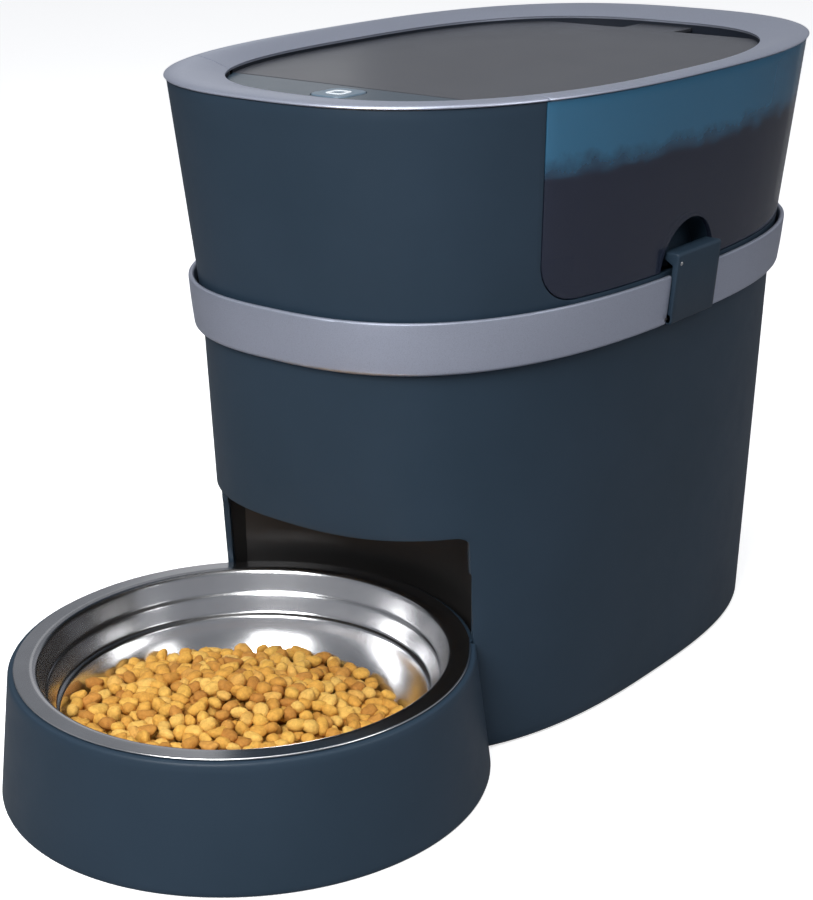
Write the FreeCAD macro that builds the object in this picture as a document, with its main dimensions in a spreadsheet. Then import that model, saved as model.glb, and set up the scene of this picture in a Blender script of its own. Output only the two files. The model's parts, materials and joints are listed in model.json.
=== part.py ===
import FreeCAD, Part
import math
import os
import Sketcher

# Automatic pet feeder, in millimetres.
# +Z is up, the bowl is towards -Y, and the origin is on the floor under the
# middle of the whole object.

V = FreeCAD.Vector
X_AXIS, Y_AXIS, Z_AXIS = V(1, 0, 0), V(0, 1, 0), V(0, 0, 1)

SIZES = [
    # housing
    ("housing_height", 312.0), ("housing_y", 66.0), ("foot_lean", 6.0),
    ("foot_half_width", 100.5), ("foot_half_length", 161.0),
    ("waist_half_width", 106.5), ("waist_half_length", 171.5), ("waist_z", 191.0),
    ("neck_half_width", 107.65), ("neck_half_length", 169.15), ("neck_z", 191.5),
    ("crown_half_width", 118.96), ("crown_half_length", 184.41), ("crown_z", 309.5),
    ("wall", 3.0), ("plan_power", 2.63), ("foot_gap", 1.2),
    # trim band
    ("band_bottom", 191.6), ("band_top", 216.5), ("band_wall", 2.4),
    ("band_low_half_width", 111.2), ("band_low_half_length", 174.8),
    ("band_high_half_width", 114.0), ("band_high_half_length", 176.8),
    # rim
    ("rim_bottom", 309.8), ("rim_half_width", 120.0), ("rim_half_length", 185.5),
    ("skirt_bottom", 305.5), ("skirt_half_width", 115.2), ("skirt_half_length", 180.4),
    ("rim_inner_z", 307.7), ("mouth_half_width", 98.9), ("mouth_half_length", 153.2),
    ("mouth_power", 2.75), ("rim_split_y", -49.0), ("ledge_z", 302.3), ("ledge_reach", 4.0),
    ("ledge_thick", 1.8), ("gap", 0.35),
    # seam between the front shell and the hopper
    ("seam_top_y", -49.3), ("seam_slope", 0.0704), ("seam_corner", 20.0), ("seam_bottom", 217.5),
    # alcove and chute
    ("alcove_half_width", 78.0), ("alcove_top", 112.0), ("alcove_back_radius", 116.0), ("liner", 2.5),
    ("chute_half_width", 30.0), ("chute_top_front", -42.0), ("chute_top_rear", -12.0),
    ("chute_low_front", -64.0), ("chute_low_rear", -34.0), ("deck_bottom", 189.0), ("deck_top", 191.0),
    # bowl and its holder
    ("bowl_y", -138.0), ("holder_foot_radius", 113.5), ("holder_top_radius", 106.7),
    ("holder_height", 59.0), ("holder_wall", 2.6), ("holder_seat_radius", 99.5),
    ("bowl_radius", 104.6), ("bowl_top", 60.2), ("bowl_mouth_radius", 96.6), ("bowl_sheet", 0.95),
    ("bowl_floor_z", 9.0), ("bowl_floor_radius", 48.0), ("bowl_curve_width", 37.2),
    ("bowl_curve_height", 37.8), ("bowl_step_1_radius", 90.9), ("bowl_step_1_z", 50.0),
    ("bowl_step_2_radius", 86.9), ("bowl_step_2_z", 41.0),
    # hopper
    ("front_wall_y", -43.6), ("lid_front_y", -43.8), ("lid_rear_y", 198.0), ("lid_thick", 2.5),
    ("lid_tongue", 33.0), ("well_floor_z", 284.0), ("funnel_top_z", 246.0), ("funnel_low_z", 222.5),
    ("funnel_half_width", 33.0), ("funnel_half_length", 92.0),
    # conveyor
    ("roller_radius", 9.0), ("roller_z", 206.0), ("drive_y", 4.0), ("idler_y", 150.0),
    ("roller_half_length", 29.0), ("shaft_radius", 2.5), ("running_fit", 0.05),
    ("belt_gap", 0.4), ("belt_thick", 1.2), ("trough_half_width", 34.0), ("trough_wall", 2.0),
    ("trough_bottom", 193.0),
    ("gear_module", 1.25), ("gear_teeth", 22), ("pinion_teeth", 10), ("gear_backlash", 0.25),
    ("gear_width", 6.0), ("gear_x", 40.0),
    # latches
    ("latch_y", 62.0), ("latch_width", 39.4), ("latch_gap", 0.8), ("latch_pivot_x", 110.5),
    ("latch_pivot_z", 195.0), ("latch_top", 227.0), ("latch_thick", 3.0), ("latch_low_x", 113.5),
    ("latch_high_x", 117.0), ("knuckle_radius", 3.1), ("pin_radius", 1.2), ("notch_radius", 23.5),
    ("notch_y", 61.0), ("notch_floor_x", 98.5),
    # panel and button
    ("button_y", -62.0), ("button_width", 20.0), ("button_length", 22.0), ("button_corner", 6.0),
    ("panel_rear_y", -44.6), ("button_proud", 0.5),
    # power
    ("cell_radius", 16.6), ("cell_length", 61.0), ("cell_row_pitch", 36.0), ("cell_y", 103.0),
    ("cell_z", 24.5), ("inlet_z", 28.0), ("inlet_radius", 5.5),
    # fixings
    ("foot_radius", 7.0), ("foot_height", 2.35), ("screw_radius", 3.2),
]

doc = FreeCAD.newDocument("pet_feeder")
sheet = doc.addObject("Spreadsheet::Sheet", "Sizes")
for row, (alias, number) in enumerate(SIZES, start=1):
    sheet.set(f"A{row}", alias)
    sheet.set(f"B{row}", str(number))
    sheet.setAlias(f"B{row}", alias)
doc.recompute()


class Size:
    """A length that knows its number and the sheet expression it comes from."""

    def __init__(self, number, text):
        self.number = float(number)
        self.text = text

    def combine(self, other, sign, result):
        text = other.text if isinstance(other, Size) else f"({float(other)!r})"
        return Size(result, f"({self.text} {sign} {text})")

    def __add__(self, other):
        return self.combine(other, "+", self.number + float(other))

    def __sub__(self, other):
        return self.combine(other, "-", self.number - float(other))

    def __mul__(self, other):
        return self.combine(other, "*", self.number * float(other))

    def __truediv__(self, other):
        return self.combine(other, "/", self.number / float(other))

    def __neg__(self):
        return Size(-self.number, f"(0 - {self.text})")

    def __float__(self):
        return self.number


class Sizes:
    """Every alias of the sheet as an attribute, read back from the sheet."""

    def __init__(self):
        for alias, number in SIZES:
            setattr(self, alias, Size(sheet.get(alias), f"Sizes.{alias}"))


size = Sizes()
subparts = []


def text_of(value):
    return value.text if isinstance(value, Size) else repr(float(value))


def bind(thing, prop, value):
    """Set a property from the sheet, or to a plain number."""
    thing.setExpression(prop, text_of(value))


def place(thing, x, y, z):
    for letter, value in zip("xyz", (x, y, z)):
        bind(thing, f"Placement.Base.{letter}", value)


def keep(thing, name):
    """Name a finished sub-part and list it for export."""
    thing.Label = name
    subparts.append(thing)
    return thing


# ---------------------------------------------------------------- primitives

def box(x0, x1, y0, y1, z0, z1):
    """Block between two corners, each side a Size or a number."""
    thing = doc.addObject("Part::Box", "Block")
    spans = (("Length", x0, x1), ("Width", y0, y1), ("Height", z0, z1))
    for prop, low, high in spans:
        bind(thing, prop, Size(float(high) - float(low), f"({text_of(high)}) - ({text_of(low)})"))
    place(thing, x0, y0, z0)
    return thing


AXIS_TURN = {"x": FreeCAD.Rotation(Y_AXIS, 90), "y": FreeCAD.Rotation(X_AXIS, -90), "z": FreeCAD.Rotation()}


def rod(axis, radius, length, x, y, z):
    """Cylinder from (x, y, z) along the positive direction of an axis."""
    thing = doc.addObject("Part::Cylinder", "Rod")
    thing.Placement = FreeCAD.Placement(V(), AXIS_TURN[axis])
    bind(thing, "Radius", radius)
    bind(thing, "Height", length)
    place(thing, x, y, z)
    return thing


def boolean(kind, first, second):
    thing = doc.addObject(f"Part::{kind}", kind)
    thing.Base = first
    thing.Tool = second
    return thing


def cut(first, *others):
    for other in others:
        first = boolean("Cut", first, other)
    return first


def fuse(first, *others):
    for other in others:
        first = boolean("Fuse", first, other)
    return first


def shape_feature(shape, name="Form"):
    thing = doc.addObject("Part::Feature", name)
    thing.Shape = shape
    return thing


# ---------------------------------------------------------------- oval forms

OVAL_POINTS = 60
FAR = 400.0                       # longer than the object, for trimming blocks
SKIN_GAP = 0.2                    # between trim pieces that sit against each other


def centre_y(z):
    """The housing leans forward towards its foot."""
    return float(size.housing_y) - float(size.foot_lean) * (1 - float(z) / float(size.housing_height))


def oval_wire(half_width, half_length, z, power=None, middle=None):
    """Closed superellipse outline at a height, round the housing's own centre unless one is given."""
    power = float(power if power is not None else size.plan_power)
    a, b = float(half_width), float(half_length)
    y0 = centre_y(z) if middle is None else float(middle)
    points = []
    for step in range(OVAL_POINTS):
        angle = 2 * math.pi * step / OVAL_POINTS
        c, s = math.cos(angle), math.sin(angle)
        radius = (abs(c / a) ** power + abs(s / b) ** power) ** (-1 / power)
        points.append(V(radius * c, y0 + radius * s, float(z)))
    curve = Part.BSplineCurve()
    curve.interpolate(points, PeriodicFlag=True)
    return Part.Wire([curve.toShape()])


def oval_solid(low, high, power=None):
    """Solid between two ovals, each given as (half width, half length, z)."""
    wires = [oval_wire(*low, power=power), oval_wire(*high, power=power)]
    return Part.makeLoft(wires, True, True)


def at_height(low, high, z, inset=0.0):
    """The oval between two given ones at height z, drawn in by an inset."""
    part = (float(z) - float(low[2])) / (float(high[2]) - float(low[2]))
    width = float(low[0]) + (float(high[0]) - float(low[0])) * part - float(inset)
    length = float(low[1]) + (float(high[1]) - float(low[1])) * part - float(inset)
    return (width, length, float(z))


FOOT = (size.foot_half_width, size.foot_half_length, 0.0)
WAIST = (size.waist_half_width, size.waist_half_length, size.waist_z)
NECK = (size.neck_half_width, size.neck_half_length, size.neck_z)
CROWN = (size.crown_half_width, size.crown_half_length, size.crown_z)


def lower_form(z0, z1, inset=0.0):
    return oval_solid(at_height(FOOT, WAIST, z0, inset), at_height(FOOT, WAIST, z1, inset))


def upper_form(z0, z1, inset=0.0):
    return oval_solid(at_height(NECK, CROWN, z0, inset), at_height(NECK, CROWN, z1, inset))


def block(x0, x1, y0, y1, z0, z1):
    """Plain block shape for trimming the oval forms."""
    return Part.makeBox(float(x1) - float(x0), float(y1) - float(y0), float(z1) - float(z0),
                        V(float(x0), float(y0), float(z0)))


def rounded_prism(x, y, width, length, corner, z0, z1):
    """Upright solid over a rectangle with round corners."""
    width, length = float(width), float(length)
    solid = block(-width / 2, width / 2, -length / 2, length / 2, z0, z1)
    upright = [edge for edge in solid.Edges if edge.BoundBox.ZLength > 1e-6]
    solid = solid.makeFillet(float(corner), upright)
    solid.translate(V(float(x), float(y), 0))
    return solid


def cylinder(axis, radius, length, x, y, z):
    direction = {"x": X_AXIS, "y": Y_AXIS, "z": Z_AXIS}[axis]
    return Part.makeCylinder(float(radius), float(length), V(float(x), float(y), float(z)), direction)


# ---------------------------------------------------------------- sketched bodies

def origin_plane(body, role):
    return next(plane for plane in body.Origin.OriginFeatures if plane.Role == role)


def outline_sketch(body, role, points):
    """Closed sketch of straight lines, every corner bound to the sheet."""
    sketch = body.newObject("Sketcher::SketchObject", "Outline")
    sketch.AttachmentSupport = [(origin_plane(body, role), "")]
    sketch.MapMode = "FlatFace"
    count = len(points)
    for index in range(count):
        start, end = points[index], points[(index + 1) % count]
        sketch.addGeometry(Part.LineSegment(V(float(start[0]), float(start[1]), 0),
                                            V(float(end[0]), float(end[1]), 0)), False)
    for index in range(count):
        sketch.addConstraint(Sketcher.Constraint("Coincident", index, 2, (index + 1) % count, 1))
    for index, point in enumerate(points):
        for kind, axis_line, value in (("DistanceX", -2, point[0]), ("DistanceY", -1, point[1])):
            if abs(float(value)) < 1e-9:
                sketch.addConstraint(Sketcher.Constraint("PointOnObject", index, 1, axis_line))
                continue
            number = sketch.addConstraint(Sketcher.Constraint(kind, -1, 1, index, 1, float(value)))
            sketch.setExpression(f"Constraints[{number}]", text_of(value))
    return sketch


def new_body(name):
    return doc.addObject("PartDesign::Body", name)


def turned_body(name, points):
    """Body turned about its own Z axis from (radius, z) points."""
    body = new_body(name)
    sketch = outline_sketch(body, "XZ_Plane", points)
    turn = body.newObject("PartDesign::Revolution", "Turn")
    turn.Profile = sketch
    turn.ReferenceAxis = (sketch, ["V_Axis"])
    turn.Angle = 360
    return body


def padded_body(name, role, points, length, both_ways=False):
    """Body padded from an outline of straight lines."""
    body = new_body(name)
    add_pad(body, outline_sketch(body, role, points), length, both_ways)
    return body


def add_pad(body, sketch, length, both_ways=False):
    pad = body.newObject("PartDesign::Pad", "Pad")
    pad.Profile = sketch
    pad.Midplane = both_ways
    bind(pad, "Length", length)
    return pad


# ---------------------------------------------------------------- gears

def gear_outline(teeth, phase):
    """Involute gear outline round the origin; phase is the angle of tooth 0."""
    module, pressure = float(size.gear_module), math.radians(20)
    pitch = module * teeth / 2
    base, tip, root = pitch * math.cos(pressure), pitch + module, pitch - 1.25 * module
    half_tooth = math.pi / (2 * teeth) - float(size.gear_backlash) / (2 * pitch)
    involute = math.tan(pressure) - pressure
    flank = []
    for step in range(5):
        radius = max(base, root) + (tip - max(base, root)) * step / 4
        turn = math.acos(min(1.0, base / radius))
        flank.append((radius, half_tooth + involute - (math.tan(turn) - turn)))
    outline = []
    for tooth in range(teeth):
        middle = phase + 2 * math.pi * tooth / teeth
        rising = [(root, -flank[0][1])] + [(radius, -angle) for radius, angle in flank]
        falling = [(radius, angle) for radius, angle in reversed(flank)] + [(root, flank[0][1])]
        for radius, angle in rising + falling:
            outline.append((radius, middle + angle))
    return outline


def gear_solid(teeth, phase, x0, width, y, z):
    """Spur gear about a line along X."""
    points = []
    for radius, angle in gear_outline(int(teeth), phase):
        point = V(float(x0), float(y) + radius * math.cos(angle), float(z) + radius * math.sin(angle))
        if not points or (points[-1] - point).Length > 1e-4:
            points.append(point)
    wire = Part.makePolygon(points + points[:1])
    return Part.Face(wire).extrude(V(float(width), 0, 0))


# ---------------------------------------------------------------- hopper seam

def seam_prism(shift):
    """Everything behind the seam: a slanted front edge, a round lower corner and a flat bottom."""
    slope, radius = float(size.seam_slope), float(size.seam_corner)
    bottom, top, far = float(size.seam_bottom), float(size.housing_height) + 18.0, 300.0
    foot_y = float(size.seam_top_y) + slope * (float(size.crown_z) - bottom)
    lean = math.atan(slope)
    reach = radius * math.tan((math.pi / 2 - lean) / 2)
    along = V(0, -math.sin(lean), math.cos(lean))
    corner = V(0, foot_y, bottom)
    on_seam = corner + along * reach
    on_floor = corner + V(0, reach, 0)
    centre = on_floor + V(0, 0, radius)
    middle = centre + (corner - centre).normalize() * radius
    head = corner + along * ((top - bottom) / math.cos(lean))
    edges = [
        Part.LineSegment(head, on_seam).toShape(),
        Part.Arc(on_seam, middle, on_floor).toShape(),
        Part.LineSegment(on_floor, V(0, far, bottom)).toShape(),
        Part.LineSegment(V(0, far, bottom), V(0, far, top)).toShape(),
        Part.LineSegment(V(0, far, top), head).toShape(),
    ]
    solid = Part.Face(Part.Wire(edges)).extrude(V(FAR, 0, 0))
    solid.translate(V(-FAR / 2, shift, shift))
    return solid


# ---------------------------------------------------------------- base housing

def alcove_form(side, radius, top):
    """Space for the bowl: straight sides, and a round back that follows the bowl holder."""
    straight = block(-float(side), float(side), -FAR, FAR, -1.0, top)
    around = cylinder("z", radius, float(top) + 1.0, 0, size.bowl_y, -1.0)
    return straight.common(around)


def alcove_clear():
    return alcove_form(size.alcove_half_width, size.alcove_back_radius, size.alcove_top)


def alcove_outer():
    return alcove_form(size.alcove_half_width + size.liner, size.alcove_back_radius + size.liner,
                       size.alcove_top + size.liner)


BATTERY_DOOR_HALF_WIDTH = 66.0
BATTERY_DOOR_HALF_LENGTH = 33.0
RECEPTACLE_HALF = (8.0, 6.5)      # half width and half height of the power inlet's body
FOOT_PLACES = ((-58, -8), (58, -8), (-62, 176), (62, 176))
CASE_SCREW_PLACES = ((-80, 30), (80, 30), (-40, 196), (40, 196))
BOSS_RADIUS = 4.5


def inlet_y():
    """Rear face of the housing at the height of the power inlet."""
    return centre_y(size.inlet_z) + at_height(FOOT, WAIST, size.inlet_z)[1]


def base_shell():
    shell = lower_form(size.foot_gap, size.waist_z).cut(lower_form(0.0, 200.0, size.wall))
    shell = shell.cut(alcove_clear())
    shell = shell.cut(cylinder("y", size.inlet_radius, 40.0, 0, inlet_y() - 20, size.inlet_z))
    for x, y in CASE_SCREW_PLACES:
        shell = shell.fuse(screw_boss(x, y))
    keep(shape_feature(shell), "base_shell")


def screw_boss(x, y):
    """Post for a case screw, joined to the nearest wall by a web."""
    post = cylinder("z", BOSS_RADIUS, 34.0, x, y, 5.2)
    web = block(min(x, 100 * x / abs(x)), max(x, 100 * x / abs(x)), y - 1, y + 1, 5.2, 39.2)
    if y > size.cell_y.number:
        web = block(x - 1, x + 1, y, y + 22, 5.2, 39.2)
    joined = post.fuse(web).common(lower_form(1.0, 60.0, 1.0))
    return joined.cut(cylinder("z", float(size.screw_radius) / 2 + 0.1, 20.0, x, y, 4.0))


def screw_hole(x, y):
    """Clearance for a screw's shank, wide below for its head."""
    radius = float(size.screw_radius)
    return cylinder("z", radius + 0.2, 3.0, x, y, 1.1).fuse(cylinder("z", radius / 2 + 0.1, 6.0, x, y, 1.1))


def base_plate():
    plate = lower_form(2.4, 5.0, size.wall + SKIN_GAP).cut(alcove_outer())
    for x, y in CASE_SCREW_PLACES:
        plate = plate.cut(screw_hole(x, y))
    half_width, half_length, y = BATTERY_DOOR_HALF_WIDTH, BATTERY_DOOR_HALF_LENGTH, float(size.cell_y)
    door = block(-half_width, half_width, y - half_length, y + half_length, 0, 10)
    keep(shape_feature(plate.cut(door)), "base_plate")


def chute_mouth(grow=0.0):
    half = float(size.chute_half_width) + grow
    return (-half, half, float(size.chute_top_front) - grow, float(size.chute_top_rear) + grow)


def hopper_deck():
    """Shelf on top of the base that the hopper stands on, open over the chute and the drive gear."""
    deck = lower_form(size.deck_bottom, size.deck_top, size.wall + SKIN_GAP)
    deck = deck.cut(block(*chute_mouth(), 180, 200))
    x, y = float(size.gear_x), float(size.drive_y)
    gear_slot = block(x - 2.5, x + float(size.gear_width) + 2.5, y - 18, y + 18, 180, 200)
    keep(shape_feature(deck.cut(gear_slot)), "hopper_deck")


def alcove_liner():
    """Dark tunnel lining: two sides, round back and ceiling, with the chute's outlet in the ceiling."""
    housing = lower_form(1.0, 150.0, size.wall + SKIN_GAP)
    liner = alcove_outer().common(housing).cut(alcove_clear())
    liner = liner.cut(block(-FAR, FAR, -FAR, FAR, -2, size.foot_gap))
    outlet = block(-float(size.chute_half_width), float(size.chute_half_width),
                   size.chute_low_front, size.chute_low_rear, 100, 120)
    keep(shape_feature(liner.cut(outlet)), "alcove_liner")


def rectangle_wire(x0, x1, y0, y1, z):
    corners = [V(x0, y0, z), V(x1, y0, z), V(x1, y1, z), V(x0, y1, z)]
    return Part.makePolygon(corners + corners[:1])


def food_chute():
    """Slanted duct from the deck to the alcove ceiling."""
    half = float(size.chute_half_width)
    top, low = float(size.deck_bottom) - SKIN_GAP, float(size.alcove_top + size.liner) + SKIN_GAP

    def duct(grow):
        upper = rectangle_wire(*chute_mouth(grow), top)
        lower = rectangle_wire(-half - grow, half + grow, float(size.chute_low_front) - grow,
                               float(size.chute_low_rear) + grow, low)
        return Part.makeLoft([lower, upper], True, True)

    keep(shape_feature(duct(1.8).cut(duct(0.0))), "food_chute")


def latch_slot():
    """Gap in the trim band on both sides for the latches."""
    half = float(size.latch_width) / 2 + float(size.latch_gap)
    y = float(size.latch_y)
    low, high = float(size.band_bottom) - 1, float(size.band_top) + 10
    sides = [block(90, 140, y - half, y + half, low, high), block(-140, -90, y - half, y + half, low, high)]
    return sides[0].fuse(sides[1])


def trim_bands():
    """Silver band round the waist, in a front and a rear piece between the latches."""
    z0, z1 = size.band_bottom, size.band_top
    outer = oval_solid((size.band_low_half_width, size.band_low_half_length, z0),
                       (size.band_high_half_width, size.band_high_half_length, z1))
    inner_low = (size.neck_half_width + SKIN_GAP, size.neck_half_length + SKIN_GAP, z0 - 0.1)
    inner_high = (size.band_high_half_width - size.band_wall, size.band_high_half_length - size.band_wall,
                  z1 + 0.1)
    ring = outer.cut(oval_solid(inner_low, inner_high)).cut(latch_slot())
    front = ring.common(block(-FAR, FAR, -FAR, size.latch_y, 0, FAR))
    rear = ring.common(block(-FAR, FAR, size.latch_y, FAR, 0, FAR))
    keep(shape_feature(front), "trim_band_front")
    keep(shape_feature(rear), "trim_band_rear")


LATCH_WELL_X = 103.2              # room for a latch's foot in the lower edge of the shell
LATCH_WELL_TOP = 203.0


def front_shell():
    """Upper shell in front of the seam, with a low upstand that runs on round the hopper's foot."""
    shell = upper_form(size.neck_z, size.crown_z).cut(upper_form(180.0, 320.0, size.wall))
    shell = shell.cut(seam_prism(0.0))
    y, half = float(size.latch_y), float(size.latch_width) / 2 + float(size.latch_gap)
    for side in (-1, 1):
        x0, x1 = sorted((side * LATCH_WELL_X, side * FAR))
        shell = shell.cut(block(x0, x1, y - half, y + half, 180.0, LATCH_WELL_TOP))
    keep(shape_feature(shell), "front_shell")


BULKHEAD_Y = -49.2


def front_bulkhead():
    """Flat wall behind the front shell, in front of the hopper."""
    inside = upper_form(size.neck_z, 299.0, size.wall + 1.0)
    sheet_form = block(-FAR, FAR, BULKHEAD_Y, BULKHEAD_Y + 2.0, 0, FAR)
    keep(shape_feature(inside.common(sheet_form)), "front_bulkhead")


# ---------------------------------------------------------------- rim, lid and control panel

def mouth_wire(z, inset=0.0):
    """Outline of the rim's opening, drawn in by an inset."""
    return oval_wire(float(size.mouth_half_width) - inset, float(size.mouth_half_length) - inset, z,
                     size.mouth_power, size.housing_y)


def mouth_form(z0, z1, inset=0.0):
    """Upright column with the outline of the rim's opening."""
    return Part.Face(mouth_wire(z0, inset)).extrude(V(0, 0, float(z1) - float(z0)))


RIM_CREST = 6.5                   # from the rim's outermost edge in to its highest line


def rim_ring():
    """Thin round-edged cap over a skirt that fits inside the shells, dished down to its opening."""
    low, high = float(size.rim_bottom), float(size.housing_height)
    a, b = float(size.rim_half_width), float(size.rim_half_length)
    skirt = (size.skirt_half_width, size.skirt_half_length)
    body = oval_solid((*skirt, size.skirt_bottom), (*skirt, low + 0.1))
    edge = ((1.0, low), (0.0, low + 0.7), (0.6, low + 1.4), (2.6, low + 1.95), (RIM_CREST, high))
    ovals = [(a - inset, b - inset, z) for inset, z in edge]
    for lower, upper in zip(ovals, ovals[1:]):
        body = body.fuse(oval_solid(lower, upper))
    brim = oval_wire(a - RIM_CREST - 0.1, b - RIM_CREST - 0.1, high + 0.02)
    dish = Part.makeLoft([mouth_wire(size.rim_inner_z), brim], True, True)
    return body.removeSplitter().cut(dish).cut(mouth_form(size.skirt_bottom - 10, high + 10))


def ledge_ring():
    """Step under the opening that carries the lid or the control panel."""
    top, low, wall = float(size.ledge_z), float(size.ledge_z - size.ledge_thick), 2.5
    shelf = mouth_form(low, top, -wall).cut(mouth_form(low - 1, top + 1, float(size.ledge_reach)))
    upright = mouth_form(top, size.skirt_bottom, -wall).cut(mouth_form(top - 1, size.housing_height))
    return shelf.fuse(upright)


def rims():
    split = float(size.rim_split_y)
    gap = float(size.gap)
    front_of = block(-FAR, FAR, -FAR, split - gap, 0, FAR)
    front = rim_ring().fuse(ledge_ring()).common(front_of)
    behind = block(-FAR, FAR, split + gap, FAR, 0, FAR)
    ledge = ledge_ring().common(block(-FAR, FAR, size.front_wall_y, FAR, 0, FAR))
    rear = rim_ring().common(behind).fuse(ledge)
    keep(shape_feature(front), "front_rim")
    keep(shape_feature(rear), "rear_rim")


PLATE_TOP = float(size.ledge_z) + 0.3 + float(size.lid_thick)
BUTTON_GAP = 0.35


def control_panel():
    """Glossy plate between the front rim and the lid, with a hole for the button."""
    plate = mouth_form(size.ledge_z + 0.1, PLATE_TOP, 0.4)
    plate = plate.common(block(-FAR, FAR, -FAR, size.panel_rear_y, 0, FAR))
    hole = rounded_prism(0, size.button_y, size.button_width + 2 * BUTTON_GAP,
                         size.button_length + 2 * BUTTON_GAP, size.button_corner, 290, 320)
    keep(shape_feature(plate.cut(hole)), "control_panel")


def feed_button():
    """Button pad with a stem, and the light ring set in its top."""
    low = float(size.ledge_z) - 0.8
    pad_top = PLATE_TOP + float(size.button_proud)
    pad = rounded_prism(0, size.button_y, size.button_width, size.button_length,
                        size.button_corner - BUTTON_GAP, low, pad_top)
    stem = cylinder("z", 2.4, low - 299.9, 0, size.button_y, 299.9)
    ring = rounded_prism(0, size.button_y, 10.0, 10.0, 3.0, pad_top - 0.6, pad_top + 0.05)
    ring = ring.cut(rounded_prism(0, size.button_y, 6.2, 6.2, 1.6, pad_top - 2, pad_top + 2))
    keep(shape_feature(pad.fuse(stem).cut(ring)), "feed_button")
    keep(shape_feature(ring), "button_ring")


def control_board():
    board = box(-34, 34, size.button_y - 16, size.button_y + 12, 291.0, 292.6)
    keep(board, "control_board")
    housing = box(-6, 6, size.button_y - 6, size.button_y + 6, 292.6, 296.4)
    plunger = rod("z", 1.7, 2.2, 0, size.button_y, 296.4)
    keep(fuse(housing, plunger), "button_switch")


def lid():
    """Flat lid with a straight front edge and a tongue between two finger gaps at the rear."""
    plate = mouth_form(size.ledge_z + 0.3, PLATE_TOP, 0.4)
    plate = plate.common(block(-FAR, FAR, size.lid_front_y, FAR, 0, FAR))
    rear, half = float(size.lid_rear_y), float(size.lid_tongue) / 2
    for side in (-1, 1):
        x0, x1 = sorted((side * half, side * FAR))
        plate = plate.cut(block(x0, x1, rear, FAR, 0, FAR))
    keep(shape_feature(plate), "lid_panel")
    ring = mouth_form(297.5, size.ledge_z + 0.3, 5.0).cut(mouth_form(290, 310, 7.4))
    ring = ring.common(block(-FAR, FAR, -38.0, rear - 6, 0, FAR))
    keep(shape_feature(ring), "lid_seal")
    y = rear + 5.6
    slider = box(-half + 2.5, half - 2.5, y, y + 7, 296.6, size.ledge_z)
    bolt = box(-5, 5, y + 7, y + 14.9, 297.2, 299.8)
    keep(fuse(slider, bolt), "lid_catch")


def finger_well():
    """Open-topped basin under the rear of the lid, with a small upright rib on each side."""
    floor, wall = float(size.well_floor_z), 1.8
    top = float(size.ledge_z - size.ledge_thick) - 0.3
    front = float(size.lid_rear_y) - 3
    outer = mouth_form(floor - wall, top, -1.5).common(block(-FAR, FAR, front, FAR, 0, FAR))
    inner = mouth_form(floor, top + 5, 0.3).common(block(-FAR, FAR, front + wall, FAR, 0, FAR))
    well = outer.cut(inner)
    for side in (-1, 1):
        rib = block(side * 30 - 1, side * 30 + 1, front + wall, front + wall + 9, floor, top - 3)
        well = well.fuse(rib)
    keep(shape_feature(well), "finger_well")


# ---------------------------------------------------------------- hopper

def notch_pocket(side, radius, x_from):
    """Round pocket that goes into one side of the tank behind a latch."""
    length = 60.0
    x = x_from if side > 0 else -x_from - length
    return cylinder("x", radius, length, x, size.notch_y, size.seam_bottom)


def pocket_rib(side):
    """Small upright rib on the floor of a latch pocket."""
    floor = float(size.notch_floor_x)
    x0, x1 = sorted((side * (floor - 0.5), side * (floor + 7.5)))
    y = float(size.notch_y) - 12.0
    return block(x0, x1, y, y + 2.0, float(size.seam_bottom) + 0.4, float(size.seam_bottom) + 16.5)


def hopper_tank():
    wall = float(size.wall) - 0.4
    behind = seam_prism(float(size.gap) + 0.05)
    form = upper_form(size.neck_z, size.crown_z)
    tank = form.cut(upper_form(180.0, 320.0, wall))
    front_y = float(size.front_wall_y)
    inside = upper_form(size.neck_z, size.ledge_z - size.ledge_thick - 0.5, wall - 0.1)
    front_wall = inside.common(block(-FAR, FAR, front_y, front_y + 2.4, 0, FAR))
    floor = upper_form(size.seam_bottom, size.seam_bottom + 3.0, wall - 0.1)
    floor = floor.common(block(-FAR, FAR, front_y, FAR, 0, FAR))
    mouth = block(-30.0, 30.0, -28.0, 146.0, 200.0, 240.0)
    x, y = float(size.gear_x), float(size.drive_y)
    gear_slot = block(x - 4.5, x + float(size.gear_width) + 2, y - 17, y + 17, 200.0, 240.0)
    tank = tank.fuse(front_wall).fuse(floor.cut(mouth).cut(gear_slot))
    for side in (-1, 1):
        pocket = notch_pocket(side, float(size.notch_radius) + 2.0, float(size.notch_floor_x) - 2.0)
        tank = tank.fuse(pocket.common(form))
    tank = tank.common(behind)
    for side in (-1, 1):
        tank = tank.cut(notch_pocket(side, float(size.notch_radius), float(size.notch_floor_x)))
        tank = tank.fuse(pocket_rib(side))
    keep(shape_feature(tank), "hopper_tank")


def funnel():
    """Sloping insert that leads food from the tank's walls to the belt."""
    top, low = float(size.funnel_top_z), float(size.funnel_low_z)

    def form(shrink):
        wide = at_height(NECK, CROWN, top, float(size.wall) + 0.2 + shrink)
        upper = oval_wire(*wide)
        half_width, half_length = float(size.funnel_half_width), float(size.funnel_half_length)
        lower = oval_wire(half_width - shrink, half_length - shrink, low, 4.0)
        return Part.makeLoft([lower, upper], True, True)

    insert = form(0.0).cut(form(1.8))
    insert = insert.common(block(-FAR, FAR, size.front_wall_y + 2.7, FAR, 0, FAR))
    for side in (-1, 1):
        clear = notch_pocket(side, float(size.notch_radius) + 2.4, float(size.notch_floor_x) - 2.4)
        insert = insert.cut(clear)
    keep(shape_feature(insert), "hopper_funnel")


TROUGH_FRONT = -41.0
TROUGH_REAR = 166.0
BELT_RIBS = 12


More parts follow.
